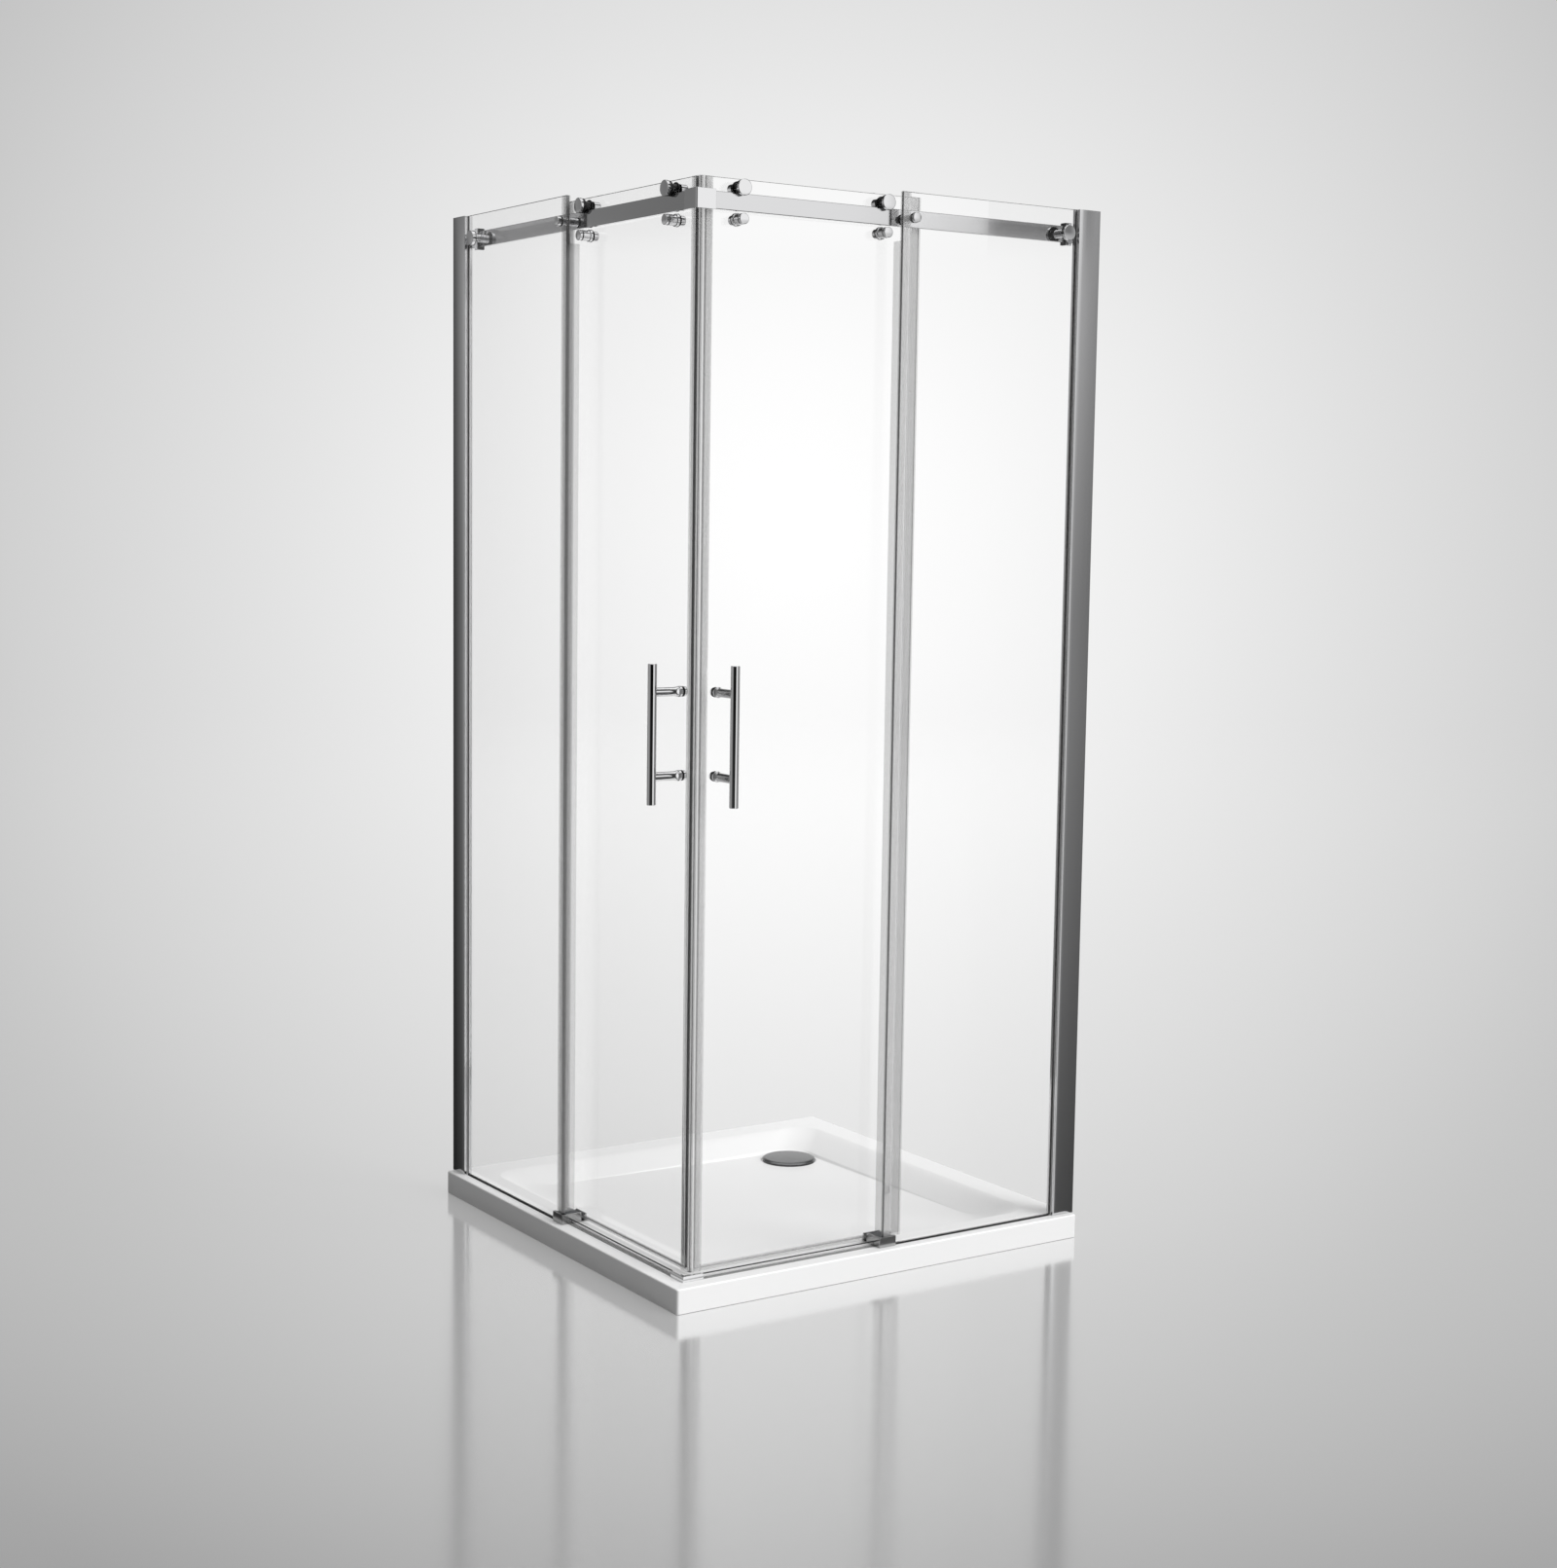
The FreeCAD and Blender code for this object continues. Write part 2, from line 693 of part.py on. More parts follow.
def inner_cap(along, height, length):
    """Cap nut that clamps a fitting from inside the door."""
    end = door_in + length
    section = [(door_in, 0), (door_in, inner_cap_radius), (end, inner_cap_radius), (end, 0)]
    return turned(section, along, height)


# The anti-jump studs: turned posts just under the rail that stop the door from being lifted off.
jump_gap = 3.3
stud_radius = 9.5
stud_front_reach = 11.0
stud_flange_radius = 11.0
stud_flange_thick = 6.0

stud_height = rail_bottom - jump_gap - stud_radius
stud_face = rail_out - stud_front_reach
stud_flange_start = door_out - stud_flange_thick


def jump_stud(along):
    """Stout stud that faces the rail's lower edge, with a flange on the glass."""
    section = [(stud_face, 0), (stud_face, stud_radius), (stud_flange_start, stud_radius),
               (stud_flange_start, stud_flange_radius), (door_out, stud_flange_radius), (door_out, 0)]
    return turned(section, along, stud_height)


# The handle: a round bar on two posts whose studs pass through the glass to cap nuts inside.
handle_above_tray = 954.0
handle_length = 244.0
handle_spacing = 146.0
handle_from_front = 32.0
handle_end_chamfer = 1.0
post_radius = 7.8
post_foot_radius = 9.5
post_foot_thick = 5.0

handle_place = door_front + handle_from_front
handle_mid = tray_height + handle_above_tray
post_heights = [handle_mid - handle_spacing / 2, handle_mid + handle_spacing / 2]


def handle_bar():
    foot = Vector(handle_place, handle_depth, handle_mid - handle_length / 2)
    bar = Part.makeCylinder(handle_bar_radius, handle_length, foot)
    ends = [e for e in bar.Edges if e.BoundBox.ZLength < tiny]
    return bar.makeChamfer(handle_end_chamfer, ends)


def handle_posts():
    """Posts coped to the bar at one end, with a foot ring on the glass at the other."""
    foot_start = door_out - post_foot_thick
    section = [(handle_depth, 0), (handle_depth, post_radius), (foot_start, post_radius),
               (foot_start, post_foot_radius), (door_out, post_foot_radius), (door_out, 0)]
    bar = handle_bar()
    return [turned(section, handle_place, height).cut(bar) for height in post_heights]


# The door's seals: magnet section on the meeting edge, plain sections on the rear and lower edges.
magnet_leg = 12.0
nose_chamfer = 3.15
magnet_width = 4.8
magnet_depth = 3.0
rear_leg = 17.0
rear_seal_base = 2.0
seal_floor_gap = 5.0
bottom_leg = 4.5
bottom_base = 1.6
bottom_lip_thick = 1.2
bottom_lip_gap = 0.7
bottom_lip_lean = 2.6

meeting_shift = door_meeting_gap / 2
seal_foot = tray_height + seal_floor_gap


def magnet_bar():
    """Square-edged strip let into the seal's mitred face."""
    middle_depth = (door_face_out + nose_chamfer + door_face_in) / 2
    half = magnet_width / 2 / math.sqrt(2)
    sink = magnet_depth / math.sqrt(2)
    low = middle_depth - half
    high = middle_depth + half
    plan = [(low + meeting_shift, low), (high + meeting_shift, high),
            (high + meeting_shift + sink, high - sink), (low + meeting_shift + sink, low - sink)]
    return upright(plan, seal_foot, door_top)


def magnet_seal():
    tip = door_front + magnet_leg
    plan = [(tip, door_face_out), (door_face_out + nose_chamfer * 2 + meeting_shift, door_face_out),
            (door_face_out + nose_chamfer + meeting_shift, door_face_out + nose_chamfer),
            (door_face_in + meeting_shift, door_face_in), (tip, door_face_in), (tip, door_in),
            (door_front, door_in), (door_front, door_out), (tip, door_out)]
    return upright(plan, seal_foot, door_top).cut(magnet_bar())


def rear_seal():
    tip = door_back - rear_leg
    base = door_back + rear_seal_base
    plan = [(tip, door_face_out), (base, door_face_out), (base, door_face_in), (tip, door_face_in),
            (tip, door_in), (door_back, door_in), (door_back, door_out), (tip, door_out)]
    return upright(plan, seal_foot, door_top)


def bottom_seal():
    """Section on the lower edge with a soft lip that leans inward over the tray's rim."""
    top = door_bottom + bottom_leg
    base = door_bottom - bottom_base
    lip_foot = clip_floor + bottom_lip_gap
    lip_root = (door_out + door_in) / 2
    lip_tip = lip_root + bottom_lip_lean
    section = [(door_face_out, top), (door_face_out, base), (lip_root, base), (lip_tip, lip_foot),
               (lip_tip + bottom_lip_thick, lip_foot), (lip_root + bottom_lip_thick, base),
               (door_face_in, base), (door_face_in, top), (door_in, top), (door_in, door_bottom),
               (door_out, door_bottom), (door_out, top)]
    return lengthwise(section, door_front + magnet_leg, door_back - rear_leg)


def door_glass():
    pane = glass_pane((door_front, door_back), (door_out, door_in), (door_bottom, door_top))
    for along in roller_places:
        pane = drilled(pane, along, roller_height, glass_hole_radius)
        pane = drilled(pane, along, stud_height, glass_hole_radius)
    for height in post_heights:
        pane = drilled(pane, handle_place, height, glass_hole_radius)
    return pane


def through_fittings():
    """Where the screws pass through the door: along, height and the length of the cap nut inside."""
    fittings = []
    for along in roller_places:
        fittings.append((along, roller_height, roller_inner_cap))
        fittings.append((along, stud_height, stud_inner_cap))
    for height in post_heights:
        fittings.append((handle_place, height, handle_inner_cap))
    return fittings


def write_tray_and_waste():
    export("shower_tray", [shower_tray()])
    export("drain_flange", [drain_flange()])
    export("drain_cover", [drain_cover()])
    export("hair_strainer", [hair_strainer()])


def write_fixed_screen():
    export_pair("wall_channel", [wall_channel()])
    export_pair("wall_profile", [wall_profile()])
    export_pair("glazing_gasket", [glazing_gasket()])
    export_pair("fixed_glass", [fixed_glass()])
    export_pair("edge_seal", [edge_seal()])
    export_pair("sill_seal", [sill_seal()])
    export_pair("rail", [rail()])
    export_pair("guide_clip", [guide_clip()])
    export_pair("water_bar", [water_bar()])
    export("rail_corner_block", [rail_corner_block()])
    export("water_bar_corner", [water_bar_corner()])
    export_group("profile_plugs", [profile_plug()])
    export_group("rail_stops", [rail_stop()])
    export_group("stop_pads", [stop_pad()])
    export_group("standoff_caps", [standoff_cap(place, radius) for place, radius in standoff_places])
    export_group("standoff_sleeves", [standoff_sleeve(place) for place, radius in standoff_places])
    clip_strip = clip_gasket()
    export("bedding_gaskets", [clip_strip, mirrored(clip_strip), drain_gasket()])
    export_group("guide_inserts", guide_inserts())


def write_doors():
    export_pair("door_glass", [door_glass()])
    export_pair("magnet_seal", [magnet_seal()])
    export_pair("magnet_strip", [magnet_bar()])
    export_pair("rear_seal", [rear_seal()])
    export_pair("bottom_seal", [bottom_seal()])
    export_pair("handle_bar", [handle_bar()])
    export_pair("handle_posts", handle_posts())
    export_pair("inner_caps", [inner_cap(*fitting) for fitting in through_fittings()])
    export_pair("roller_axles", [roller_axle(along) for along in roller_places])
    export_pair("roller_caps", [roller_cap(along) for along in roller_places])
    export_pair("jump_studs", [jump_stud(along) for along in roller_places])
    export_pair("front_wheel", [wheel(roller_places[0])])
    export_pair("rear_wheel", [wheel(roller_places[1])])


os.makedirs("parts", exist_ok=True)
write_tray_and_waste()
write_fixed_screen()
write_doors()
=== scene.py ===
from math import copysign, cos, pi, radians, sin, tau

import bmesh
import bpy
from mathutils import Matrix, Vector


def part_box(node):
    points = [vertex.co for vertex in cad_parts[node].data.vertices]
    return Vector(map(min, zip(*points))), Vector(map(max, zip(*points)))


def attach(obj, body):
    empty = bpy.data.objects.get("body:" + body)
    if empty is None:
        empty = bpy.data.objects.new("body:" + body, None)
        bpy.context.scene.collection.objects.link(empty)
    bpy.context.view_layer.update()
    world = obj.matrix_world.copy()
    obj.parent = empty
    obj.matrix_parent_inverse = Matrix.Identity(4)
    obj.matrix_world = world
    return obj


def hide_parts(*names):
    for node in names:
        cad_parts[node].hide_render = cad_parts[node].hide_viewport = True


# A square corner-entry shower screen: two fixed panes, two sliding doors on polished rails, and the
# low tray that they stand on. Lengths are in metres. Most pieces are made once for the right-hand run,
# which goes along X from the front corner, and mirrored across the tray's diagonal for the left one.
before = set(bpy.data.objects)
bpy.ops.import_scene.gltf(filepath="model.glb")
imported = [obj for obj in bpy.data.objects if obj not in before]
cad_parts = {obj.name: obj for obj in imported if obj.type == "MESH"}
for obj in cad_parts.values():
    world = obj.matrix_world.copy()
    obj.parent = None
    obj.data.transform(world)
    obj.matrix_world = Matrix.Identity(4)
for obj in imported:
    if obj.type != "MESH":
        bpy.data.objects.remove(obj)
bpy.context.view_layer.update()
scene = bpy.context.scene

# The tray: cast stone resin under a white gel coat, taken from a polished mould, so that every edge is
# soft and the basin runs out of its rim in one sweep. Its floor falls from all sides to the waste.
tray_low, tray_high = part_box("shower_tray")
corner = tray_low.xy
tray_side = tray_high.x - tray_low.x
tray_top = tray_high.z
rim_front, rim_wall = 0.080, 0.060
basin_slope_front, basin_slope_wall = 0.025, 0.075
basin_corner_radius, basin_foot_height, basin_floor_height = 0.050, 0.024, 0.019
tray_corner_radius, tray_edge_round, basin_edge_round = 0.005, 0.003, 0.007
waste_from_wall = 0.200
from_corner = tray_side - waste_from_wall
waste_rebate_radius, waste_rebate_floor = 0.058, 0.014
waste_hole_radius, waste_pocket_radius, waste_pocket_height = 0.045, 0.066, 0.008


def linear(colour):
    """An sRGB hex colour as linear red, green, blue and alpha."""
    parts = [int(colour[i:i + 2], 16) / 255 for i in (1, 3, 5)]
    return [c / 12.92 if c <= 0.04045 else ((c + 0.055) / 1.055) ** 2.4 for c in parts] + [1]


def add(tree, kind, inputs=(), **settings):
    """Adds a node; inputs maps a socket's name or number to a value, an output or a node's first output."""
    made = tree.nodes.new(kind)
    for name, value in settings.items():
        setattr(made, name, value)
    for socket, value in dict(inputs).items():
        value = value.outputs[0] if isinstance(value, bpy.types.Node) else value
        if isinstance(value, bpy.types.NodeSocket):
            tree.links.new(value, made.inputs[socket])
        else:
            made.inputs[socket].default_value = value
    return made


def finish_of(name, colour, slot=None, grain=None, stretch=(1, 1, 1), spread=None, **values):
    """A material of one Principled shader with its constants on its own sockets. Its slot is not used.

    Its grain is noise with a spacing and a depth in metres, drawn out along the directions that stretch
    makes small. The grain moves the roughness between the two values of spread.
    """
    made = bpy.data.materials.new(name)
    made.use_nodes = True
    tree = made.node_tree
    shader = tree.nodes["Principled BSDF"]
    shader.inputs["Base Color"].default_value = linear(colour)
    for socket, value in values.items():
        shader.inputs[socket.replace("_", " ")].default_value = value
    if grain:
        spacing, depth = grain
        place = add(tree, "ShaderNodeTexCoord").outputs["Object"]
        drawn = add(tree, "ShaderNodeMapping", {"Vector": place, "Scale": stretch})
        noise = add(tree, "ShaderNodeTexNoise", {"Vector": drawn, "Scale": 1 / spacing})
        if depth > 0:
            bump = add(tree, "ShaderNodeBump", {"Height": noise, "Distance": depth})
            tree.links.new(bump.outputs[0], shader.inputs["Normal"])
        if spread:
            low, high = spread
            moving = add(tree, "ShaderNodeMapRange",
                         {"Value": noise, "From Min": 0.3, "From Max": 0.7, "To Min": low, "To Max": high})
            tree.links.new(moving.outputs[0], shader.inputs["Roughness"])
    return made


def ring_places(low, high, radius, height, steps=10):
    """A level square from low to high along both edges of the tray, with round corners."""
    places = []
    for quarter, (x, y) in enumerate(((high, high), (low, high), (low, low), (high, low))):
        middle = Vector((x - copysign(radius, x - (low + high) / 2),
                         y - copysign(radius, y - (low + high) / 2)))
        for step in range(steps + 1):
            turn = radians(90 * (quarter + step / steps))
            spot = corner + middle + radius * Vector((cos(turn), sin(turn)))
            places.append((spot.x, spot.y, height))
    return places


def between(a, b, share):
    """A ring a share of the way from one ring to another."""
    return [p + (q - p) * share for p, q in zip(a, b)]


def swept(start, bend, end, steps=6):
    """Rings on a smooth sweep from one ring to another, drawn towards a third."""
    shares = [step / steps for step in range(steps + 1)]
    return [between(between(start, bend, s), between(bend, end, s), s) for s in shares]


def loft(rings, closed):
    """Mesh through rings of equally many places; closed joins the last ring to the first."""
    made = bmesh.new()
    loops = [[made.verts.new(place) for place in ring] for ring in rings]
    for a, b in zip(loops, loops[1:] + loops[:1] if closed else loops[1:]):
        for i in range(len(a)):
            j = (i + 1) % len(a)
            made.faces.new((a[i], a[j], b[j], b[i]))
    bmesh.ops.remove_doubles(made, verts=made.verts, dist=1e-7)
    bmesh.ops.recalc_face_normals(made, faces=made.faces)
    return made


def as_mesh(shape):
    """The mesh of a shape, which may still be a BMesh."""
    if not isinstance(shape, bmesh.types.BMesh):
        return shape
    mesh = bpy.data.meshes.new("shape")
    shape.to_mesh(mesh)
    shape.free()
    return mesh


def placed(name, data):
    """A new object in the scene."""
    made = bpy.data.objects.new(name, data)
    scene.collection.objects.link(made)
    return made


def settle(name, shape, body, finish, *nodes, smooth=35):
    """Makes a piece of a shape, which rides on a body and stands for the CAD nodes that are named."""
    mesh = as_mesh(shape)
    mesh.polygons.foreach_set("use_smooth", [True] * len(mesh.polygons))
    mesh.set_sharp_from_angle(angle=radians(smooth))
    mesh.materials.clear()
    mesh.materials.append(finish)
    piece = placed(name, mesh)
    evened = piece.modifiers.new("even_normals", "WEIGHTED_NORMAL")
    evened.keep_sharp = True
    graph = bpy.context.evaluated_depsgraph_get()
    piece.data = bpy.data.meshes.new_from_object(piece.evaluated_get(graph))
    piece.modifiers.clear()
    piece.data.name = name
    bpy.data.meshes.remove(mesh)
    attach(piece, body)
    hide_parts(*nodes)


def tray_rings():
    """The rings of the tray, from the waste hole's lower edge round the outside and back down to it."""
    def square(inset_front, inset_wall, radius, height):
        return [inset_front, tray_side - inset_wall, radius, height]

    def round_hole(radius, height):
        return [from_corner - radius, from_corner + radius, radius, height]

    edge = tray_edge_round
    mouth = square(rim_front, rim_wall, basin_corner_radius, tray_top)
    foot = square(rim_front + basin_slope_front, rim_wall + basin_slope_wall, basin_corner_radius,
                  basin_foot_height)
    waste = round_hole(waste_rebate_radius, basin_floor_height)
    rebate = round_hole(waste_rebate_radius, waste_rebate_floor)
    rings = [round_hole(waste_hole_radius, waste_pocket_height),
             round_hole(waste_pocket_radius, waste_pocket_height), round_hole(waste_pocket_radius, 0),
             square(edge / 4, edge / 4, tray_corner_radius, 0), square(0, 0, tray_corner_radius, edge / 4)]
    rings += swept(square(0, 0, tray_corner_radius, tray_top - edge),
                   square(0, 0, tray_corner_radius, tray_top),
                   square(edge, edge, tray_corner_radius, tray_top))
    rim_edge = square(rim_front - basin_edge_round, rim_wall - basin_edge_round,
                      basin_corner_radius + basin_edge_round, tray_top)
    slope_start, slope_end, floor_start, rebate_start = 0.3, 0.62, 0.09, 0.3
    rings += swept(rim_edge, mouth, between(mouth, foot, slope_start))
    rings += swept(between(mouth, foot, slope_end), foot, between(foot, waste, floor_start), steps=10)
    rings += [between(foot, waste, share) for share in (0.25, 0.45, 0.65, 0.85, 0.97)]
    rings += [waste, between(waste, rebate, rebate_start), rebate,
              round_hole(waste_hole_radius, waste_rebate_floor)]
    return [ring_places(*ring) for ring in rings]


# Polyester gel coat: white, even and glossy, with the faint orange peel of a mould.
gel_coat = finish_of("gel_coated_resin", "#f3f3f3", "tray_resin", grain=(0.012, 0.00012),
                     spread=(0.3, 0.42), Roughness=0.35, Coat_Weight=0.15, Coat_Roughness=0.2)
settle("tray", loft(tray_rings(), closed=True), "enclosure", gel_coat, "shower_tray", smooth=50)

# The waste: a chromed flange on a rubber ring in the tray's rebate. A domed cover of spun stainless
# steel hides it, and lifts out with the grey moulded sieve that is pressed on its stem.
waste_place = Vector((*corner, 0)) + Vector((from_corner, from_corner, 0))


def rounded(corners, steps=4):
    """A line through corners (u, v) or (u, v, rounding), each eased over the length that it gives."""
    points = []
    for i, (u, v, *eased) in enumerate(corners):
        here = Vector((u, v))
        if not eased or i in (0, len(corners) - 1):
            points.append(here)
            continue
        ease = eased[0]
        before = Vector(corners[i - 1][:2]) - here
        after = Vector(corners[i + 1][:2]) - here
        start = here + before.normalized() * min(ease, before.length / 2)
        end = here + after.normalized() * min(ease, after.length / 2)
        for step in range(steps + 1):
            s = step / steps
            points.append(start * (1 - s) ** 2 + here * 2 * s * (1 - s) + end * s ** 2)
    return points


def turned(corners, axis="Y", facets=64, closed=False):
    """Lathe-turned piece from corners (place on the axis, radius, rounding) about an axis at the origin."""
    turns = [tau * step / facets for step in range(facets)]
    rings = []
    for place, radius in rounded(corners):
        spots = [(radius * cos(turn), radius * sin(turn)) for turn in turns]
        rings.append([(a, place, b) if axis == "Y" else (a, b, place) for a, b in spots])
    return loft(rings, closed)


def moved(shape, offset):
    bmesh.ops.translate(shape, verts=shape.verts, vec=offset)
    return shape


def joined(*shapes):
    """Several shapes in one."""
    whole = bmesh.new()
    for shape in shapes:
        part = as_mesh(shape)
        whole.from_mesh(part)
        bpy.data.meshes.remove(part)
    return whole


# Chrome plate on brass or steel: a cold mirror, dulled a little by flat smears some 17 mm apart.
chrome = finish_of("chrome_plate", "#eaeaeb", "chrome", grain=(1 / 60, 0), spread=(0.015, 0.05),
                   Metallic=1.0, Roughness=0.03)
# Spun stainless steel, polished: darker and greyer than chrome, with a soft lathe grain.
stainless = finish_of("polished_stainless", "#777879", "chrome", grain=(0.0015, 0.00001),
                      spread=(0.12, 0.2), Metallic=1.0, Roughness=0.16)
# Moulded polypropylene: soft sheen and the fine spark-eroded grain of its mould.
sieve_plastic = finish_of("grey_polypropylene", "#7c7e80", "strainer_plastic", grain=(0.0008, 0.00003),
                          Roughness=0.45)

flange_low, flange_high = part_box("drain_flange")
flange_radius = (flange_high.x - flange_low.x) / 2
sleeve_radius, sleeve_bore, socket_bore, socket_top = 0.0435, 0.040, 0.0415, 0.0085
flange_seat = flange_high.z - 0.003
flange = turned([(socket_top, sleeve_bore), (flange_high.z, sleeve_bore, 0.0012),
                 (flange_high.z, flange_radius, 0.002), (flange_seat, flange_radius),
                 (flange_seat, sleeve_radius), (flange_low.z, sleeve_radius), (flange_low.z, socket_bore),
                 (socket_top, socket_bore)], axis="Z", facets=96, closed=True)
settle("waste_flange", moved(flange, waste_place), "enclosure", chrome, "drain_flange")

cover_low, cover_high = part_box("drain_cover")
cover_radius = (cover_high.y - cover_low.y) / 2
cover_foot, cover_rim, dome_drop, stem_radius = 0.021, 0.0035, 0.0008, 0.004
plate = turned([(cover_high.z, 0), (cover_high.z - dome_drop / 3, cover_radius / 2, 0.02),
                (cover_high.z - dome_drop, cover_radius - cover_rim, 0.004),
                (cover_high.z - cover_rim, cover_radius, 0.003), (cover_foot, cover_radius, 0.001),
                (cover_foot, stem_radius, 0.001), (cover_low.z, stem_radius), (cover_low.z, 0)],
               axis="Z", facets=96)
foot_width, foot_place, foot_round = 0.005, 0.0485, 0.0005
foot_size = Matrix.Diagonal((foot_width, foot_width, cover_foot - flange_high.z, 1))
feet = []
for number in range(3):
    foot = bmesh.new()
    bmesh.ops.create_cube(foot, size=1, matrix=foot_size)
    bmesh.ops.bevel(foot, geom=foot.edges[:], offset=foot_round, segments=2, profile=0.5, affect="EDGES")
    moved(foot, (foot_place, 0, (cover_foot + flange_high.z) / 2))
    bmesh.ops.rotate(foot, verts=foot.verts, matrix=Matrix.Rotation(tau * number / 3, 3, "Z"))
    feet.append(foot)
settle("waste_cover", moved(joined(plate, *feet), waste_place), "drain_cover", stainless, "drain_cover")


def tree_with(name, **inputs):
    """A new Geometry Nodes tree with named inputs, and the outputs of its input node."""
    tree = bpy.data.node_groups.new(name, "GeometryNodeTree")
    for label, kind in inputs.items():
        tree.interface.new_socket(label.replace("_", " "), in_out="INPUT", socket_type="NodeSocket" + kind)
    tree.interface.new_socket("Made", in_out="OUTPUT", socket_type="NodeSocketGeometry")
    return tree, add(tree, "NodeGroupInput").outputs


def painted(tree, shape, finish):
    """Ends a tree: what it made becomes one real mesh in its finish."""
    real = add(tree, "GeometryNodeRealizeInstances", {0: shape})
    whole = add(tree, "GeometryNodeSetMaterial", {"Geometry": real, "Material": finish})
    add(tree, "NodeGroupOutput", {0: whole})
    return tree


def sieve_tree(ring_count):
    """Rings of round holes in a flat plate; each ring has more holes than the one inside it."""
    tree, entry = tree_with("sieve_holes", Plate="Geometry", First_ring="Float", Ring_pitch="Float",
                            Holes_in_first_ring="Int", Hole_radius="Float", Plate_thickness="Float",
                            Finish="Material")
    drill = add(tree, "GeometryNodeMeshCylinder",
                {"Vertices": 12, "Radius": entry["Hole radius"], "Depth": entry["Plate thickness"]})
    drills = add(tree, "GeometryNodeJoinGeometry")
    for ring in range(ring_count):
        radius = add(tree, "ShaderNodeMath", {0: entry["Ring pitch"], 1: ring, 2: entry["First ring"]},
                     operation="MULTIPLY_ADD")
        holes = add(tree, "ShaderNodeMath", {0: entry["Holes in first ring"], 1: 1 + ring / 2},
                    operation="MULTIPLY")
        circle = add(tree, "GeometryNodeMeshCircle", {"Vertices": holes, "Radius": radius})
        placed = add(tree, "GeometryNodeInstanceOnPoints", {"Points": circle, "Instance": drill})
        tree.links.new(placed.outputs[0], drills.inputs[0])
    solid_drills = add(tree, "GeometryNodeRealizeInstances", {0: drills})
    cut = add(tree, "GeometryNodeMeshBoolean", {"Mesh 1": entry["Plate"], "Mesh 2": solid_drills},
              operation="DIFFERENCE")
    return painted(tree, cut, entry["Finish"])


def grown(shape, tree, **values):
    """The mesh that a Geometry Nodes tree makes of a shape, with the tree's inputs set by name."""
    mesh = as_mesh(shape)
    holder = placed("base", mesh)
    modifier = holder.modifiers.new("shape", "NODES")
    modifier.node_group = tree
    for item in tree.interface.items_tree:
        key = item.name.replace(" ", "_")
        if item.in_out == "INPUT" and key in values:
            modifier[item.identifier] = values[key]
    made = bpy.data.meshes.new_from_object(holder.evaluated_get(bpy.context.evaluated_depsgraph_get()))
    bpy.data.objects.remove(holder)
    bpy.data.meshes.remove(mesh)
    return made


sieve_low, sieve_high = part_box("hair_strainer")
sieve_radius = (sieve_high.x - sieve_low.x) / 2
sieve_rim, rim_width, rim_slope, stem_play = 0.0012, 0.0022, 0.0008, 0.00005
disc = turned([(sieve_low.z, stem_radius + stem_play), (sieve_low.z, sieve_radius, 0.0008),
               (sieve_high.z + sieve_rim, sieve_radius, 0.0005),
               (sieve_high.z + sieve_rim, sieve_radius - rim_width, 0.0005),
               (sieve_high.z, sieve_radius - rim_width - rim_slope, 0.0005),
               (sieve_high.z, stem_radius + stem_play)], axis="Z", facets=72, closed=True)
sieve_middle = Vector((0, 0, (sieve_low.z + sieve_high.z) / 2))
sieve = grown(moved(disc, -sieve_middle), sieve_tree(5), First_ring=0.0105, Ring_pitch=0.0053,
              Holes_in_first_ring=12, Hole_radius=0.0013, Plate_thickness=0.006, Finish=sieve_plastic)
sieve.transform(Matrix.Translation(waste_place + sieve_middle))
settle("waste_sieve", sieve, "drain_cover", sieve_plastic, "hair_strainer")

# The wall fixing: a plain aluminium channel is screwed to the wall, and a bright cover profile slides
# over it. The profile's outer face is very slightly bowed, as it comes from the die, and three
# cross-headed screws inside the cubicle lock the two together.

# Bright-dipped and anodised aluminium: a mirror with the drawing lines of the die along its length.
bright_profile = finish_of("bright_anodised_aluminium", "#d6d6d7", "bright_profile",
                           grain=(0.0012, 0.0000008), stretch=(1, 1, 0.004), spread=(0.1, 0.14),
                           Metallic=1.0, Roughness=0.12)
# Aluminium as it leaves the die: pale, dull, with streaks along its length.
mill_finish = finish_of("mill_aluminium", "#b7b9bb", grain=(0.003, 0.00001), stretch=(1, 1, 0.01),
                        spread=(0.3, 0.45), Metallic=1.0, Roughness=0.38)


def dress(finish, *nodes):
    """Gives CAD nodes a finish; SIDE in a name stands for both runs."""
    for name in nodes:
        for node in {name.replace("SIDE", side) for side in ("right", "left")}:
            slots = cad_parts[node].data.materials
            slots.clear()
            slots.append(finish)


def prism(outline, low, high):
    """Upright bar with a plan outline of (x, y) points."""
    made = bmesh.new()
    turn = sum(a[0] * b[1] - a[1] * b[0] for a, b in zip(outline, outline[1:] + outline[:1]))
    outline = outline if turn > 0 else outline[::-1]
    foot, head = [[made.verts.new((x, y, height)) for x, y in outline] for height in (low, high)]
    for i in range(len(outline)):
        j = (i + 1) % len(outline)
        made.faces.new((foot[i], foot[j], head[j], head[i]))
    caps = [made.faces.new(foot[::-1]), made.faces.new(head)]
    bmesh.ops.triangulate(made, faces=caps)
    return made


def across(mesh):
    """The mirror image of a mesh across the tray's diagonal, faces still outward."""
    image = mesh.copy()
    image.transform(Matrix(((0, 1, 0, 0), (1, 0, 0, 0), (0, 0, 1, 0), (0, 0, 0, 1))))
    image.flip_normals()
    return image


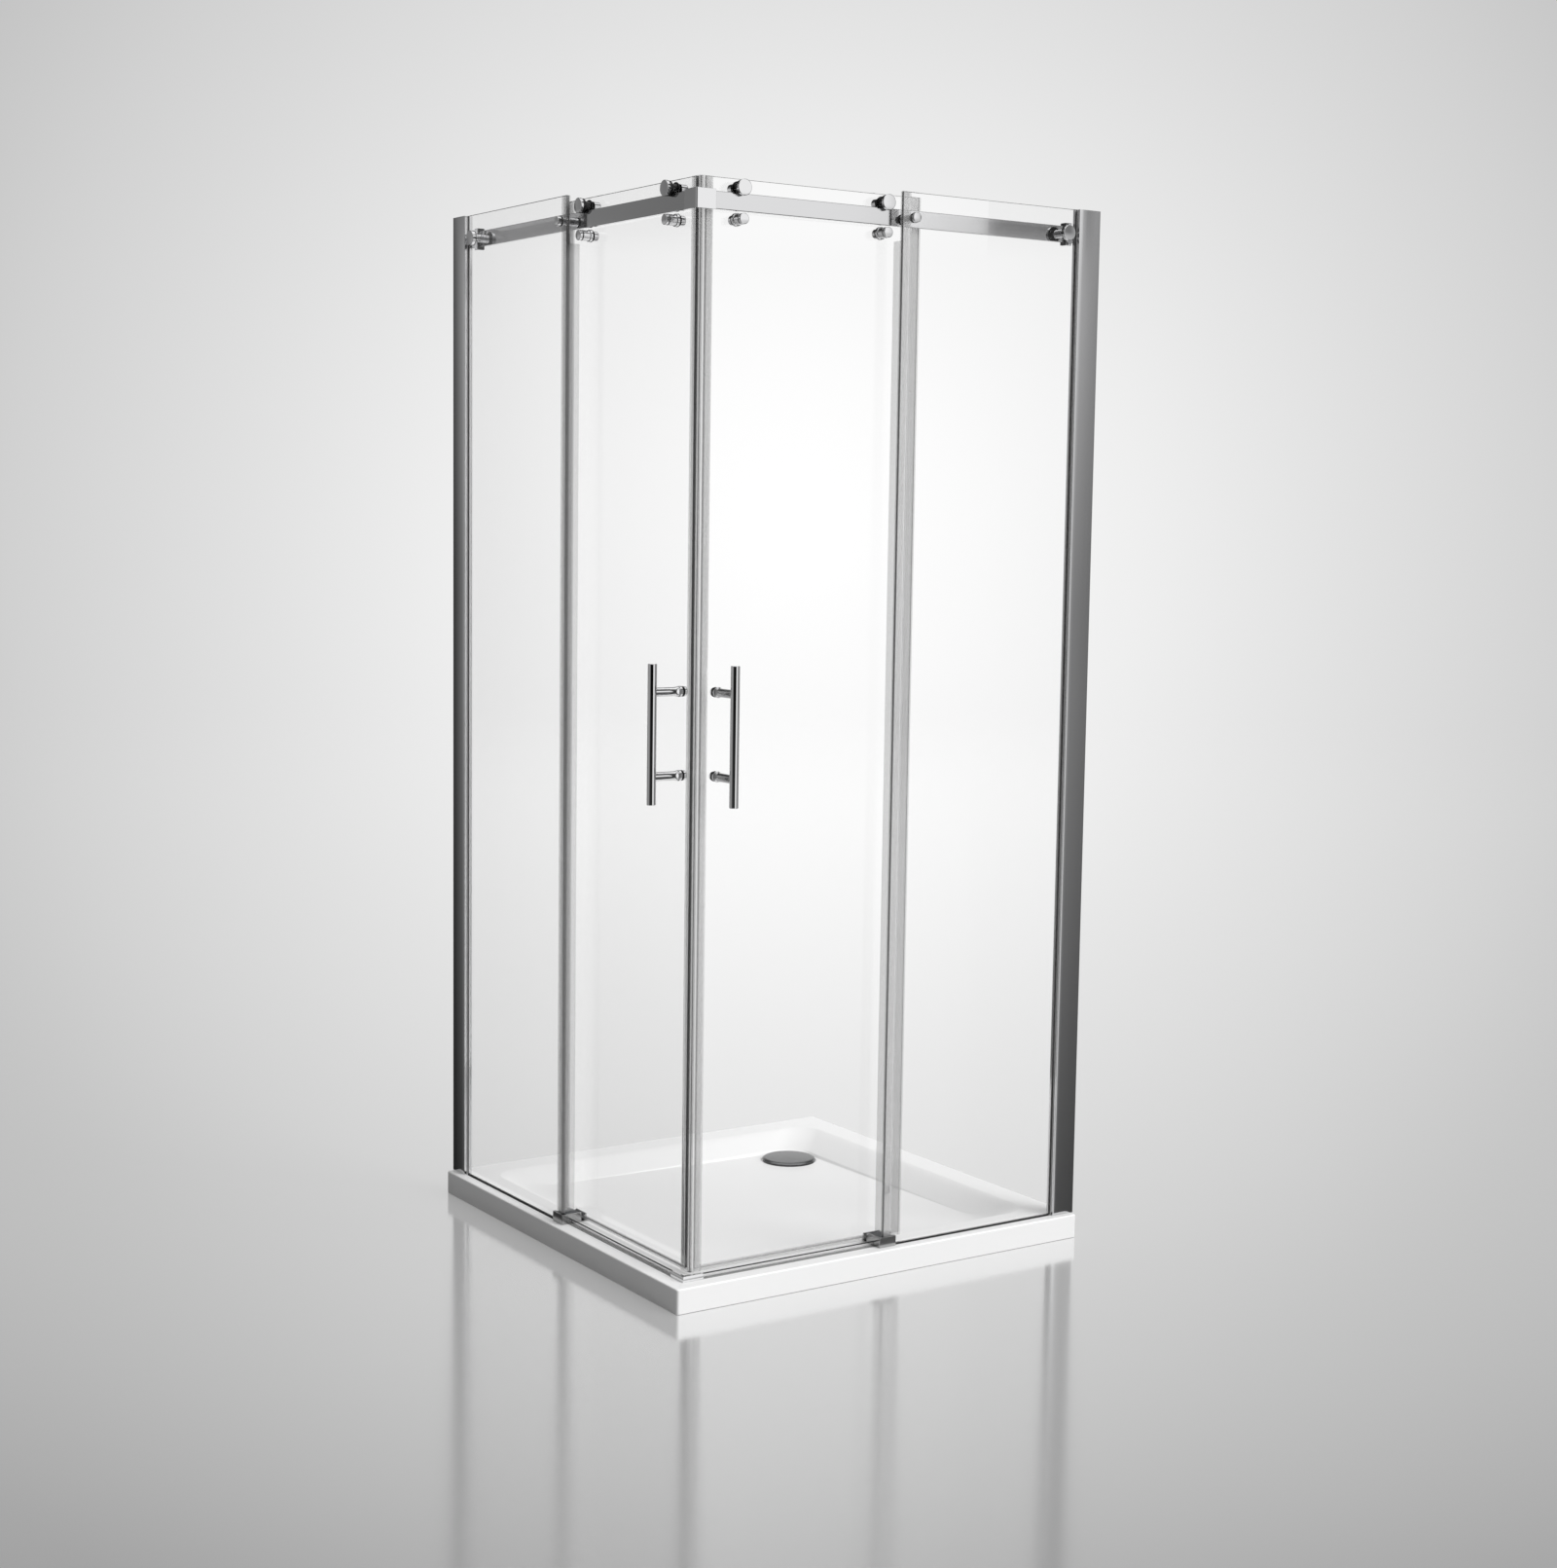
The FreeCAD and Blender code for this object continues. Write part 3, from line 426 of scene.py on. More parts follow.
def settle_pair(name, shape, body, finish, *nodes, smooth=35):
    """A piece for the right-hand run and its mirror image for the left; SIDE in a name is either side."""
    mesh = as_mesh(shape)
    for side, made in (("left", across(mesh)), ("right", mesh)):
        settle(f"{side}_{name}", made, body.replace("SIDE", side), finish,
               *[node.replace("SIDE", side) for node in nodes], smooth=smooth)


profile_low, profile_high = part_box("right_wall_profile")
# Where its outer and its inner leg end over the pane, in x.
nose_outside, nose_inside = profile_low.x + 0.005, profile_low.x + 0.003


def cover_profile():
    """The cover profile's section, drawn from the wall edge round to the wall edge again."""
    wall, out, inn, nose = profile_high.x, profile_low.y, profile_high.y, nose_outside
    thick, bow, lip, soft, web_from_wall = 0.0016, 0.0003, 0.0063, 0.0004, 0.028
    nose_round, bevel_long, bevel_drop = 0.0007, 0.0042, 0.0005
    web = wall - web_from_wall
    outer = [(wall, out + thick), (wall, out + bow * 2, 0.0006)]
    start, end = wall - 0.001, nose + bevel_long
    for s in (step / 10 for step in range(11)):
        outer.append((start + (end - start) * s, out + bow - bow * 4 * s * (1 - s)))
    outer += [(nose, out + bow + bevel_drop, nose_round), (nose, out + lip, soft),
              (nose + thick, out + lip, soft), (nose + thick, out + thick, soft)]
    middle = [(web, out + thick), (web, inn - thick)]
    inner = [(nose_inside + thick, inn - thick), (nose_inside + thick, inn - lip, soft),
             (nose_inside, inn - lip, soft), (nose_inside, inn, nose_round), (wall, inn),
             (wall, inn - thick), (web + thick, inn - thick), (web + thick, out + thick)]
    return prism(rounded(outer + middle + inner), profile_low.z, profile_high.z)


settle_pair("cover_profile", cover_profile(), "enclosure", bright_profile, "SIDE_wall_profile", smooth=20)
dress(mill_finish, "SIDE_wall_channel")


def row_tree():
    """Copies of a piece at equal steps from a first place, as screws, caps, studs and rollers stand."""
    tree, entry = tree_with("equal_steps", Piece="Geometry", Count="Int", First_place="Vector",
                            Step="Vector", Finish="Material")
    places = add(tree, "GeometryNodeMeshLine", {"Count": entry["Count"], "Offset": entry["Step"],
                 "Start Location": entry["First place"]}, mode="OFFSET")
    copies = add(tree, "GeometryNodeInstanceOnPoints", {"Points": places, "Instance": entry["Piece"]})
    return painted(tree, copies, entry["Finish"])


equal_steps = row_tree()


def in_a_row(shape, places, finish, count=2):
    """Copies of a shape made at the origin, from the first of two places to the last."""
    first, last = map(Vector, places)
    step = (last - first) / (count - 1)
    return grown(shape, equal_steps, Count=count, First_place=tuple(first), Step=tuple(step), Finish=finish)


def pan_head(radius, height, arm, depth, steps=32):
    """Pan head with a cross recess, standing on the plane y = 0 and facing inward."""
    def ring(place, size, between_arms=None):
        spots = []
        for step in range(steps):
            across, along = cos(tau * step / steps), sin(tau * step / steps)
            in_arm = between_arms is None or min(abs(across), abs(along)) < 0.25
            reach = size if in_arm else between_arms
            spots.append((reach * across, place, reach * along))
        return spots

    return loft([ring(0, 0), ring(0, radius), ring(height * 0.55, radius),
                 ring(height * 0.85, radius * 0.88), ring(height, radius * 0.62),
                 ring(height, arm, arm / 3), ring(height - depth, arm * 0.7, arm / 3),
                 ring(height - depth, 0)], closed=False)


screw_from_wall, screw_from_end = 0.013, 0.120
screw_places = [(profile_high.x - screw_from_wall, profile_high.y, height)
                for height in (profile_low.z + screw_from_end, profile_high.z - screw_from_end)]
screws = in_a_row(pan_head(radius=0.0034, height=0.0019, arm=0.0017, depth=0.001), screw_places, chrome,
                  count=3)
settle_pair("profile_screws", screws, "enclosure", chrome)


def soften(name, node, radius, finish, segments=3):
    """A fixed piece from a CAD node, with its sharp edges rounded as a casting or a moulding has them."""
    made = bmesh.new()
    made.from_mesh(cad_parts[node].data)
    bmesh.ops.remove_doubles(made, verts=made.verts, dist=1e-6)
    bmesh.ops.dissolve_limit(made, angle_limit=radians(0.5), verts=made.verts, edges=made.edges)
    sharp = [e for e in made.edges if e.calc_face_angle(0) > radians(35)]
    if radius > 0:
        bmesh.ops.bevel(made, geom=sharp, offset=radius, segments=segments, profile=0.5, affect="EDGES",
                        clamp_overlap=True)
    bmesh.ops.triangulate(made, faces=[f for f in made.faces if len(f.verts) > 4])
    bmesh.ops.recalc_face_normals(made, faces=made.faces)
    settle(name, made, "enclosure", finish, node)


# Glass-filled nylon, moulded dark grey: dull, with a fine even grain.
nylon = finish_of("grey_nylon", "#4a4c4e", "dark_plastic", grain=(0.0006, 0.00003), Roughness=0.5)
soften("profile_top_plugs", "profile_plugs", 0.0003, nylon, segments=2)

# The panes: clear toughened glass with ground and polished edges. The fixed ones are gripped by clear
# gaskets in the wall profiles and stand on a thin strip of black rubber.


def clear_glass():
    """Toughened low-iron float glass, without colour. Lamps shine through it."""
    made = finish_of("toughened_float_glass", "#ffffff", Roughness=0.0, IOR=1.5, Transmission_Weight=1.0)
    tree = made.node_tree
    shadow = add(tree, "ShaderNodeLightPath").outputs["Is Shadow Ray"]
    clear = add(tree, "ShaderNodeBsdfTransparent", {"Color": linear("#fafafa")})
    mixed = add(tree, "ShaderNodeMixShader", {0: shadow, 1: tree.nodes["Principled BSDF"], 2: clear})
    tree.links.new(mixed.outputs[0], tree.nodes["Material Output"].inputs["Surface"])
    return made


glass_low, glass_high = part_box("right_fixed_glass")
# Extruded EPDM rubber: near black, dull, with the drag lines of its die.
rubber = finish_of("epdm_rubber", "#1b1b1c", "black_rubber", grain=(0.0012, 0.00003),
                   stretch=(1, 1, 0.05), Roughness=0.55)
dress(clear_glass(), "SIDE_fixed_glass", "SIDE_door_glass")
dress(rubber, "SIDE_sill_seal", "bedding_gaskets")

# The clear seals: soft PVC extrusions pushed on the edges of the panes. They are slightly milky, so
# they read as grey bands, and those where the doors meet hold a strip of black magnetic rubber.

# Extruded PVC: glossy outside and slightly milky in itself. Alpha is what each face holds back.
seal_pvc = finish_of("soft_clear_pvc", "#b4b4b4", "clear_seal", Roughness=0.3, Alpha=0.21, IOR=1.53)
gasket_pvc = finish_of("milky_soft_pvc", "#dcdcdc", "clear_seal", Roughness=0.35, Alpha=0.75, IOR=1.53)
# Ferrite-filled rubber: black, with the dull sheen of a calendered strip.
ferrite = finish_of("ferrite_rubber", "#161617", grain=(0.002, 0.00002), stretch=(1, 1, 0.02),
                    Roughness=0.35)
dress(seal_pvc, "SIDE_magnet_seal", "SIDE_rear_seal", "SIDE_bottom_seal")


def glazing_strip():
    """Soft strips pressed in between the glass and the cover profile's legs, each with a lip that shows."""
    show, lip, gap, grip, soft = 0.0016, 0.0012, 0.0007, 0.004, 0.0002
    strips = []
    for nose, face, way in ((nose_outside, glass_low.y, -1), (nose_inside, glass_high.y, 1)):
        outline = [(nose - show, face), (nose - show, face + way * lip / 2, soft),
                   (nose - soft, face + way * lip, soft), (nose - soft, face + way * gap),
                   (nose + grip, face + way * gap), (nose + grip, face)]
        strips.append(prism(rounded(outline), profile_low.z, profile_high.z))
    return joined(*strips)


settle_pair("glazing_strip", glazing_strip(), "enclosure", gasket_pvc, "SIDE_glazing_gasket")
dress(ferrite, "SIDE_magnet_strip")


def edge_seal():
    """A channel over the fixed pane's free edge. Its soft fin reaches in and ends below the studs."""
    low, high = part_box("right_edge_seal")
    wall, fin_reach, fin_tip, lip, below_studs = 0.0013, 0.0195, 0.0009, 0.0004, 0.0022
    fin_low, fin_high = low.z + 0.002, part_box("right_jump_studs")[0].z - below_studs
    web, legs = low.x, high.x
    out, inn = glass_low.y - wall, glass_high.y + wall
    channel = [(web, out), (legs, out, lip), (legs, out + wall, lip), (web + wall, out + wall),
               (web + wall, inn - wall), (legs, inn - wall, lip), (legs, inn, lip), (web, inn, lip),
               (web, out + wall)]
    fin = [(web + lip, inn - wall / 2), (web + wall * 2, inn - wall / 2),
           (web + fin_tip * 2, inn + fin_reach, lip), (web + fin_tip, inn + fin_reach)]
    return joined(prism(rounded(channel), low.z, high.z), prism(rounded(fin), fin_low, fin_high))


settle_pair("edge_channel", edge_seal(), "enclosure", seal_pvc, "SIDE_edge_seal")

# The rails: flat bars of stainless steel, polished along their length, and the block that joins them
# over the front corner. Two standoffs a side hold each rail off the fixed pane: a chromed cap
# outside, a black washer on either face of the glass, and a turned sleeve inside.

# Stainless flat bar, polished along its length: a soft mirror drawn out along the bar.
bar_steel = finish_of("polished_stainless_bar", "#dededf", "polished_rail", grain=(0.0016, 0.0000008),
                      stretch=(0.02, 0.02, 1), spread=(0.03, 0.05), Metallic=1.0, Roughness=0.04)
for side in ("right", "left"):
    soften(f"{side}_rail_bar", f"{side}_rail", 0, bar_steel)
soften("corner_block", "rail_corner_block", 0.0008, chrome)
soften("rail_end_stops", "rail_stops", 0.0005, chrome, segments=2)
soften("stop_buffers", "stop_pads", 0.0004, rubber, segments=2)

rail_low, rail_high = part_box("right_rail")
rail_middle = (rail_low.z + rail_high.z) / 2
standoff_from_edge, standoff_to_profile, cap_depth = 0.025, 0.044, 0.008
edge_place = (glass_low.x + standoff_from_edge, 0, rail_middle)
wall_place = (glass_high.x - standoff_to_profile, 0, rail_middle)
sleeve_outer, groove_start, groove_end = 0.008, 0.0045, 0.0067
groove_slope, groove_depth = 0.0005, 0.0008
washer, washer_bore = 0.0008, 0.0041


def washer_ring(low, radius):
    """A washer from a face at low inward."""
    high = low + washer
    return turned([(low, washer_bore), (high, washer_bore), (high, radius, 0.0002), (low, radius, 0.0002)],
                  facets=48, closed=True)


caps, rings = [], []
for place, cap_size, ring_size in ((edge_place, 0.00875, 0.0092), (wall_place, 0.014, 0.0144)):
    face, back = glass_low.y - cap_depth, glass_low.y - washer
    cap = turned([(face, 0), (face, cap_size, 0.0012), (back, cap_size, 0.0004), (back, 0)])
    caps.append(moved(cap, place))
    rings.append(moved(washer_ring(back, ring_size), place))
    rings.append(moved(washer_ring(glass_high.y, sleeve_outer + 0.0005), place))
settle_pair("standoff_caps", joined(*caps), "enclosure", chrome, "standoff_caps")
face = glass_high.y
sleeve = turned([(face + washer, 0), (face + washer, sleeve_outer, 0.0005),
                 (face + groove_start, sleeve_outer, 0.0004),
                 (face + groove_start + groove_slope, sleeve_outer - groove_depth, 0.0003),
                 (face + groove_end - groove_slope, sleeve_outer - groove_depth, 0.0003),
                 (face + groove_end, sleeve_outer, 0.0004), (rail_low.y, sleeve_outer, 0.0005),
                 (rail_low.y, 0)])
sleeves = in_a_row(sleeve, (edge_place, wall_place), chrome)
settle_pair("standoff_sleeves", sleeves, "enclosure", chrome, "standoff_sleeves")
settle_pair("standoff_washers", joined(*rings), "enclosure", rubber)

# The floor clips: cast brackets, satin nickel plated, that hold the foot of each fixed pane and keep
# the door's lower edge in line between plastic faces.

# Satin nickel plate on cast zinc: a darker, softer mirror than chrome.
nickel = finish_of("satin_nickel_plate", "#b0b0b0", "chrome", grain=(0.0008, 0.000002),
                   spread=(0.17, 0.23), Metallic=1.0, Roughness=0.2)
for side in ("right", "left"):
    soften(f"{side}_floor_clip", f"{side}_guide_clip", 0.0006, nickel)
soften("clip_inserts", "guide_inserts", 0.0003, nylon, segments=2)

# The water bar: a low strip of clear hard PVC stuck along the rim of the tray outside the doors, with
# a soft black lip on its rib and a thin bead of dark grey sealant along its outer foot, whose grey also
# paints the shade line at the bar's edge. A chromed plastic cap laps over its two ends at the corner.

# Extruded hard PVC: glossier and clearer than the soft seals.
bar_pvc = finish_of("hard_clear_pvc", "#b0b0b0", "clear_seal", Roughness=0.1, Alpha=0.2, IOR=1.53)
# Silicone sealant drawn off with a finger: mid grey, smooth, slightly uneven along its length. Its grey
# also stands for painted shade along the bar's outer foot.
sealant_and_shade_line = finish_of("grey_silicone", "#868686", "black_rubber", grain=(0.02, 0.0002), Roughness=0.35)


def along_x(outline, low, high):
    """A bar along X with a section of (y, z) points."""
    made = prism(outline, low, high)
    made.transform(Matrix(((0, 0, 1, 0), (1, 0, 0, 0), (0, 1, 0, 0), (0, 0, 0, 1))))
    return made


strip_low, strip_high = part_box("right_water_bar")
strip_foot, strip_fillet, rib_foot, rib_top, lip_height = 0.0014, 0.0005, 0.0022, 0.0012, 0.0016
bead_width, bead_height = 0.0011, 0.0009
rib_middle = (strip_low.y + strip_high.y) / 2
rib_start, rib_end = strip_low.z + strip_foot * 1.6, strip_high.z - lip_height
strip = [(strip_low.y, strip_low.z), (strip_high.y, strip_low.z),
         (strip_high.y, strip_low.z + strip_foot, strip_fillet), (rib_middle + rib_foot, rib_start, 0.001),
         (rib_middle + rib_top, rib_end), (rib_middle - rib_top, rib_end),
         (rib_middle - rib_foot, rib_start, 0.001), (strip_low.y, strip_low.z + strip_foot, strip_fillet)]
soft_lip = [(rib_middle - rib_top, rib_end), (rib_middle + rib_top, rib_end),
            (rib_middle + rib_top, strip_high.z, 0.0008), (rib_middle - rib_top, strip_high.z, 0.0008)]
bead = [(strip_low.y - bead_width, tray_top), (strip_low.y, tray_top),
        (strip_low.y, tray_top + bead_height, 0.0005),
        (strip_low.y - bead_width, tray_top + bead_height / 3, 0.0003)]
for name, outline, finish, nodes in (
        ("water_strip", strip, bar_pvc, ["SIDE_water_bar"]),
        ("water_strip_lip", soft_lip, rubber, []),
        ("water_strip_bead", bead, sealant_and_shade_line, [])):
    bar = along_x(rounded(outline), strip_low.x, strip_high.x)
    settle_pair(name, bar, "enclosure", finish, *nodes)
soften("water_strip_corner", "water_bar_corner", 0.0004, chrome, segments=2)

# The rollers: each hangs its door by an axle through the glass. A black acetal wheel with a steel
# bearing runs on the rail, and a chromed disc hides its hub.

# Turned black acetal: dense, smooth and waxy, with fine turning rings.
acetal = finish_of("black_acetal", "#141415", "black_plastic", grain=(0.001, 0.00001), Roughness=0.24)


def row_of(node):
    """The two places in a row or column of like round pieces, their two depths and their radius."""
    low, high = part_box(node)
    radius = min(high.x - low.x, high.z - low.z) / 2
    ends = (low.x + radius, 0, low.z + radius), (high.x - radius, 0, high.z - radius)
    return ends, (low.y, high.y), radius


places, (cap_out, cap_in), cap_radius = row_of("right_roller_caps")
disc = turned([(cap_out, 0), (cap_out, cap_radius, 0.0012), (cap_in, cap_radius, 0.0005), (cap_in, 0)])
settle_pair("roller_discs", in_a_row(disc, places, chrome), "SIDE_door", chrome, "SIDE_roller_caps")

axle_low, axle_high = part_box("right_roller_axles")
axle_radius, collar_radius, collar = 0.004, 0.008, 0.0027
collar_out, collar_in = axle_high.y - collar, axle_high.y - washer
axle = turned([(axle_low.y, 0), (axle_low.y, axle_radius), (collar_out, axle_radius),
               (collar_out, collar_radius, 0.0004), (collar_in, collar_radius, 0.0004), (collar_in, 0)])
settle_pair("roller_pins", in_a_row(axle, places, chrome), "SIDE_door", chrome, "SIDE_roller_axles")

groove_play, groove_radius, inner_radius, bore = 0.0005, 0.0089, 0.0117, 0.00405
groove_out, groove_in = rail_low.y - groove_play, rail_high.y + groove_play
hub_radius, bearing_radius, bearing_set_in, bearing_gap = 0.0062, 0.0082, 0.0006, 0.0001
for which, place in zip(("front", "rear"), places):
    wheel_low, wheel_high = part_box(f"right_{which}_wheel")
    outer = (wheel_high.x - wheel_low.x) / 2
    seat = wheel_high.y - bearing_set_in
    shield, shield_groove = wheel_high.y - bearing_set_in / 3, wheel_high.y - bearing_set_in / 1.5
    tread = turned([(wheel_low.y, bore), (wheel_low.y, outer, 0.0012),
                    (groove_out - 0.0004, outer, 0.0006), (groove_out, groove_radius, 0.0008),
                    (groove_in, groove_radius, 0.0008),
                    (groove_in + 0.0003, inner_radius, 0.0005), (wheel_high.y, inner_radius, 0.0006),
                    (wheel_high.y, bearing_radius, 0.0002), (seat, bearing_radius), (seat, bore)],
                   closed=True)
    bearing = turned([(seat, bore), (shield, bore), (shield, hub_radius, 0.0002),
                      (shield_groove, hub_radius + 0.0003), (shield, hub_radius + 0.0006),
                      (shield, bearing_radius - bearing_gap, 0.0001),
                      (seat, bearing_radius - bearing_gap)], closed=True, facets=48)
    wheel_middle = (place[0], 0, (wheel_low.z + wheel_high.z) / 2)
    wheel = f"SIDE_{which}_wheel"
    settle_pair(f"{which}_tread", moved(tread, wheel_middle), wheel, acetal, wheel)
    settle_pair(f"{which}_bearing", moved(bearing, wheel_middle), wheel, stainless)

# The anti-jump studs: chromed posts that pass close under the rail, so that a door can't be lifted off.
# A black ring sits in a groove behind each cap.
stud_places, (stud_out, stud_in), flange_size = row_of("right_jump_studs")
stud_radius, stud_cap, groove, groove_depth, flange_thick = 0.0095, 0.0058, 0.0016, 0.0016, 0.006
cap_size, groove_foot, ring_size = stud_radius - 0.0002, stud_radius - groove_depth, stud_radius - 0.0001
ring_out, ring_in = stud_out + stud_cap, stud_out + stud_cap + groove
flange_out, flange_in = stud_in - flange_thick, stud_in - washer
stud = turned([(stud_out, 0), (stud_out, cap_size, 0.0012), (ring_out, cap_size, 0.0004),
               (ring_out, groove_foot), (ring_in, groove_foot), (ring_in, stud_radius, 0.0004),
               (flange_out, stud_radius, 0.0006), (flange_out, flange_size, 0.0012),
               (flange_in, flange_size, 0.0006), (flange_in, 0)])
settle_pair("jump_posts", in_a_row(stud, stud_places, chrome), "SIDE_door", chrome, "SIDE_jump_studs")
ring = turned([(ring_out, groove_foot), (ring_out, ring_size, 0.0006), (ring_in, ring_size, 0.0006),
               (ring_in, groove_foot)], closed=True, facets=48)
settle_pair("jump_rings", in_a_row(ring, stud_places, rubber), "SIDE_door", rubber)

# The handles: a round bar on two posts, all chromed brass. Each post is coped to the bar and ends in a
# turned foot on a black washer, and its screw passes through the glass to a cap nut inside.
bar_low, bar_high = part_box("right_handle_bar")
bar_radius = (bar_high.x - bar_low.x) / 2
bar_axis = (bar_low.xy + bar_high.xy) / 2
bar = turned([(bar_low.z, 0), (bar_low.z, bar_radius, 0.0011), (bar_high.z, bar_radius, 0.0011),
              (bar_high.z, 0)], axis="Z", facets=96)
settle_pair("grip_bar", moved(bar, (*bar_axis, 0)), "SIDE_door", chrome, "SIDE_handle_bar")

post_low, post_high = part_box("right_handle_posts")
foot_radius = (post_high.x - post_low.x) / 2
collar_size, neck_size = foot_radius - 0.0007, foot_radius - 0.0022
post_places = ((bar_axis.x, 0, post_low.z + foot_radius), (bar_axis.x, 0, post_high.z - foot_radius))
post_radius = 0.0078
post_start = bar_axis.y + bar_radius * 0.5
face = post_high.y
post = turned([(post_start, 0), (post_start, post_radius), (face - 0.0125, post_radius, 0.002),
               (face - 0.0085, collar_size, 0.001), (face - 0.0075, collar_size, 0.0004),
               (face - 0.0072, neck_size, 0.0002), (face - 0.0058, neck_size, 0.0002),
               (face - 0.0055, foot_radius, 0.0006), (face - washer, foot_radius, 0.001),
               (face - washer, 0)])
settle_pair("grip_posts", in_a_row(post, post_places, chrome), "SIDE_door", chrome, "SIDE_handle_posts")

# Inside each door, domed cap nuts clamp the rollers, the studs and the handle. A black washer lies on
# either face of the glass there.
door_low, door_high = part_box("right_door_glass")
nut_radius = 0.0085
nut_rows, washer_rows = [], []
for row, nut_length, outer_washer in (
        (places, 0.015, 0.0085), (stud_places, 0.011, 0.0113), (post_places, 0.0075, 0.0092)):
    start, end = door_high.y + washer, door_high.y + nut_length
    nut = turned([(start, 0), (start, nut_radius, 0.0004), (end - 0.0015, nut_radius, 0.0015),
                  (end, nut_radius * 0.6, 0.002), (end, 0)])
    nut_rows.append(in_a_row(nut, row, chrome))
    pair = joined(washer_ring(door_low.y - washer, outer_washer),
                  washer_ring(door_high.y, nut_radius + 0.0006))
    washer_rows.append(in_a_row(pair, row, rubber))
settle_pair("cap_nuts", joined(*nut_rows), "SIDE_door", chrome, "SIDE_inner_caps")
settle_pair("door_washers", joined(*washer_rows), "SIDE_door", rubber)

# The studio: a pale sweep with a painted pool of light behind the screen, a broad lamp to the right, one
# overhead, and a room whose dark and light walls the bright metal mirrors.
camera_place = Vector((*corner, 0)) + Vector((-2.129228, -3.481084, 1.37102))
camera_azimuth, camera_elevation, camera_roll = map(radians, (-33.728, 6.223, 0.833))


def facing(azimuth, elevation):
    """Unit vector back towards a camera at that azimuth and elevation."""
    return Vector((sin(azimuth) * cos(elevation), -cos(azimuth) * cos(elevation), sin(elevation)))


backward = facing(camera_azimuth, camera_elevation)
rightward = (-backward).cross(Vector((0, 0, 1))).normalized()
upward = rightward.cross(-backward)
turned_right = rightward * cos(camera_roll) + upward * sin(camera_roll)
turned_up = upward * cos(camera_roll) - rightward * sin(camera_roll)
turn = Matrix((turned_right, turned_up, backward)).transposed().to_4x4()
camera_data = bpy.data.cameras.new("camera")
camera_data.lens, camera_data.sensor_width, camera_data.clip_end = 55.84, 36.0, 200
camera = placed("camera", camera_data)
camera.matrix_world = Matrix.Translation(camera_place) @ turn
scene.camera = camera


def greys(levels):
    """Stops of grey by angle in degrees; each level is the two hex digits of its red, green and blue."""
    return [(angle, "#" + level * 3) for angle, level in levels.items()]


# The pool of light is painted: these greys are the backdrop's colour and the floor's, not light from a
# lamp.
pool_axis = (-backward + Vector((0, 0, 0.098)) + rightward * 0.008).normalized()
painted_pool_greys = greys({0: "fe", 4: "f8", 8.3: "ee", 12.4: "e2", 18: "d1", 22.6: "bf", 28: "a9", 60: "a4"})


def ramp(tree, position, stops):
    """A colour for each position from the first stop to the last, as a Color Ramp node."""
    start, end = stops[0][0], stops[-1][0]
    share = add(tree, "ShaderNodeMapRange", {"Value": position, "From Min": start, "From Max": end})
    made = add(tree, "ShaderNodeValToRGB", {0: share})
    band = made.color_ramp
    while len(band.elements) < len(stops):
        band.elements.new(0.5)
    for element, (place, colour) in zip(band.elements, stops):
        element.position = (place - start) / (end - start)
    for element, (place, colour) in zip(band.elements, stops):
        element.color = linear(colour)
    return made


# Greys of the room by the angle round from the camera, left to right, from the floor up. A white panel
# stands to the right, just above eye level, and ends where the right-hand rail turns dark.
panel_edge = 252.1
low_walls = greys({
    0: "d0", 40: "60", 55: "0c", 63: "34", 78: "58", 96: "60", 136: "48", 139: "14", 150: "60", 198: "60",
    208: "14", 212: "f4", 241: "f0", 245: "58", 262: "40", 268: "80", 300: "60", 330: "90", 345: "d0",
    360: "d0"})
middle_walls = greys({
    0: "e0", 40: "a8", 55: "14", 59: "46", 63: "84", 78: "a8", 96: "a4", 136: "80", 139: "10", 208: "10",
    212: "f8", 241: "f4", 245: "9c", 250: "94", 256: "80", 262: "78", 268: "a0", 300: "90", 330: "b0",
    345: "e0", 360: "e0"})
upper_walls = greys({
    0: "eb", 40: "c0", 55: "34", 59: "6c", 63: "b0", 78: "b4", 96: "ac", 136: "a0", 139: "10", 150: "50",
    198: "50", 208: "10", 212: "fc", 240: "f4", 250: "d4", 256: "a8", 262: "98", 268: "c4", 300: "a8",
    330: "c8", 345: "eb", 360: "eb"})
high_walls = greys({
    0: "2c", 60: "30", 80: "80", 136: "70", 139: "14", 150: "68", 198: "68", 208: "14", 212: "fa",
    246: "f0", 250: "30", 262: "30", 270: "d0", 290: "60", 320: "2c", 360: "2c"})
panel_wall = (upper_walls[:3] + greys({59: "84", 62: "86", 65: "78", 78: "90"}) + upper_walls[6:13]
              + greys({230: "ff", 249: "fc", panel_edge: "d8"}))
beyond_panel = greys({panel_edge: "80", 254: "74", 256: "b8"}) + upper_walls[16:]


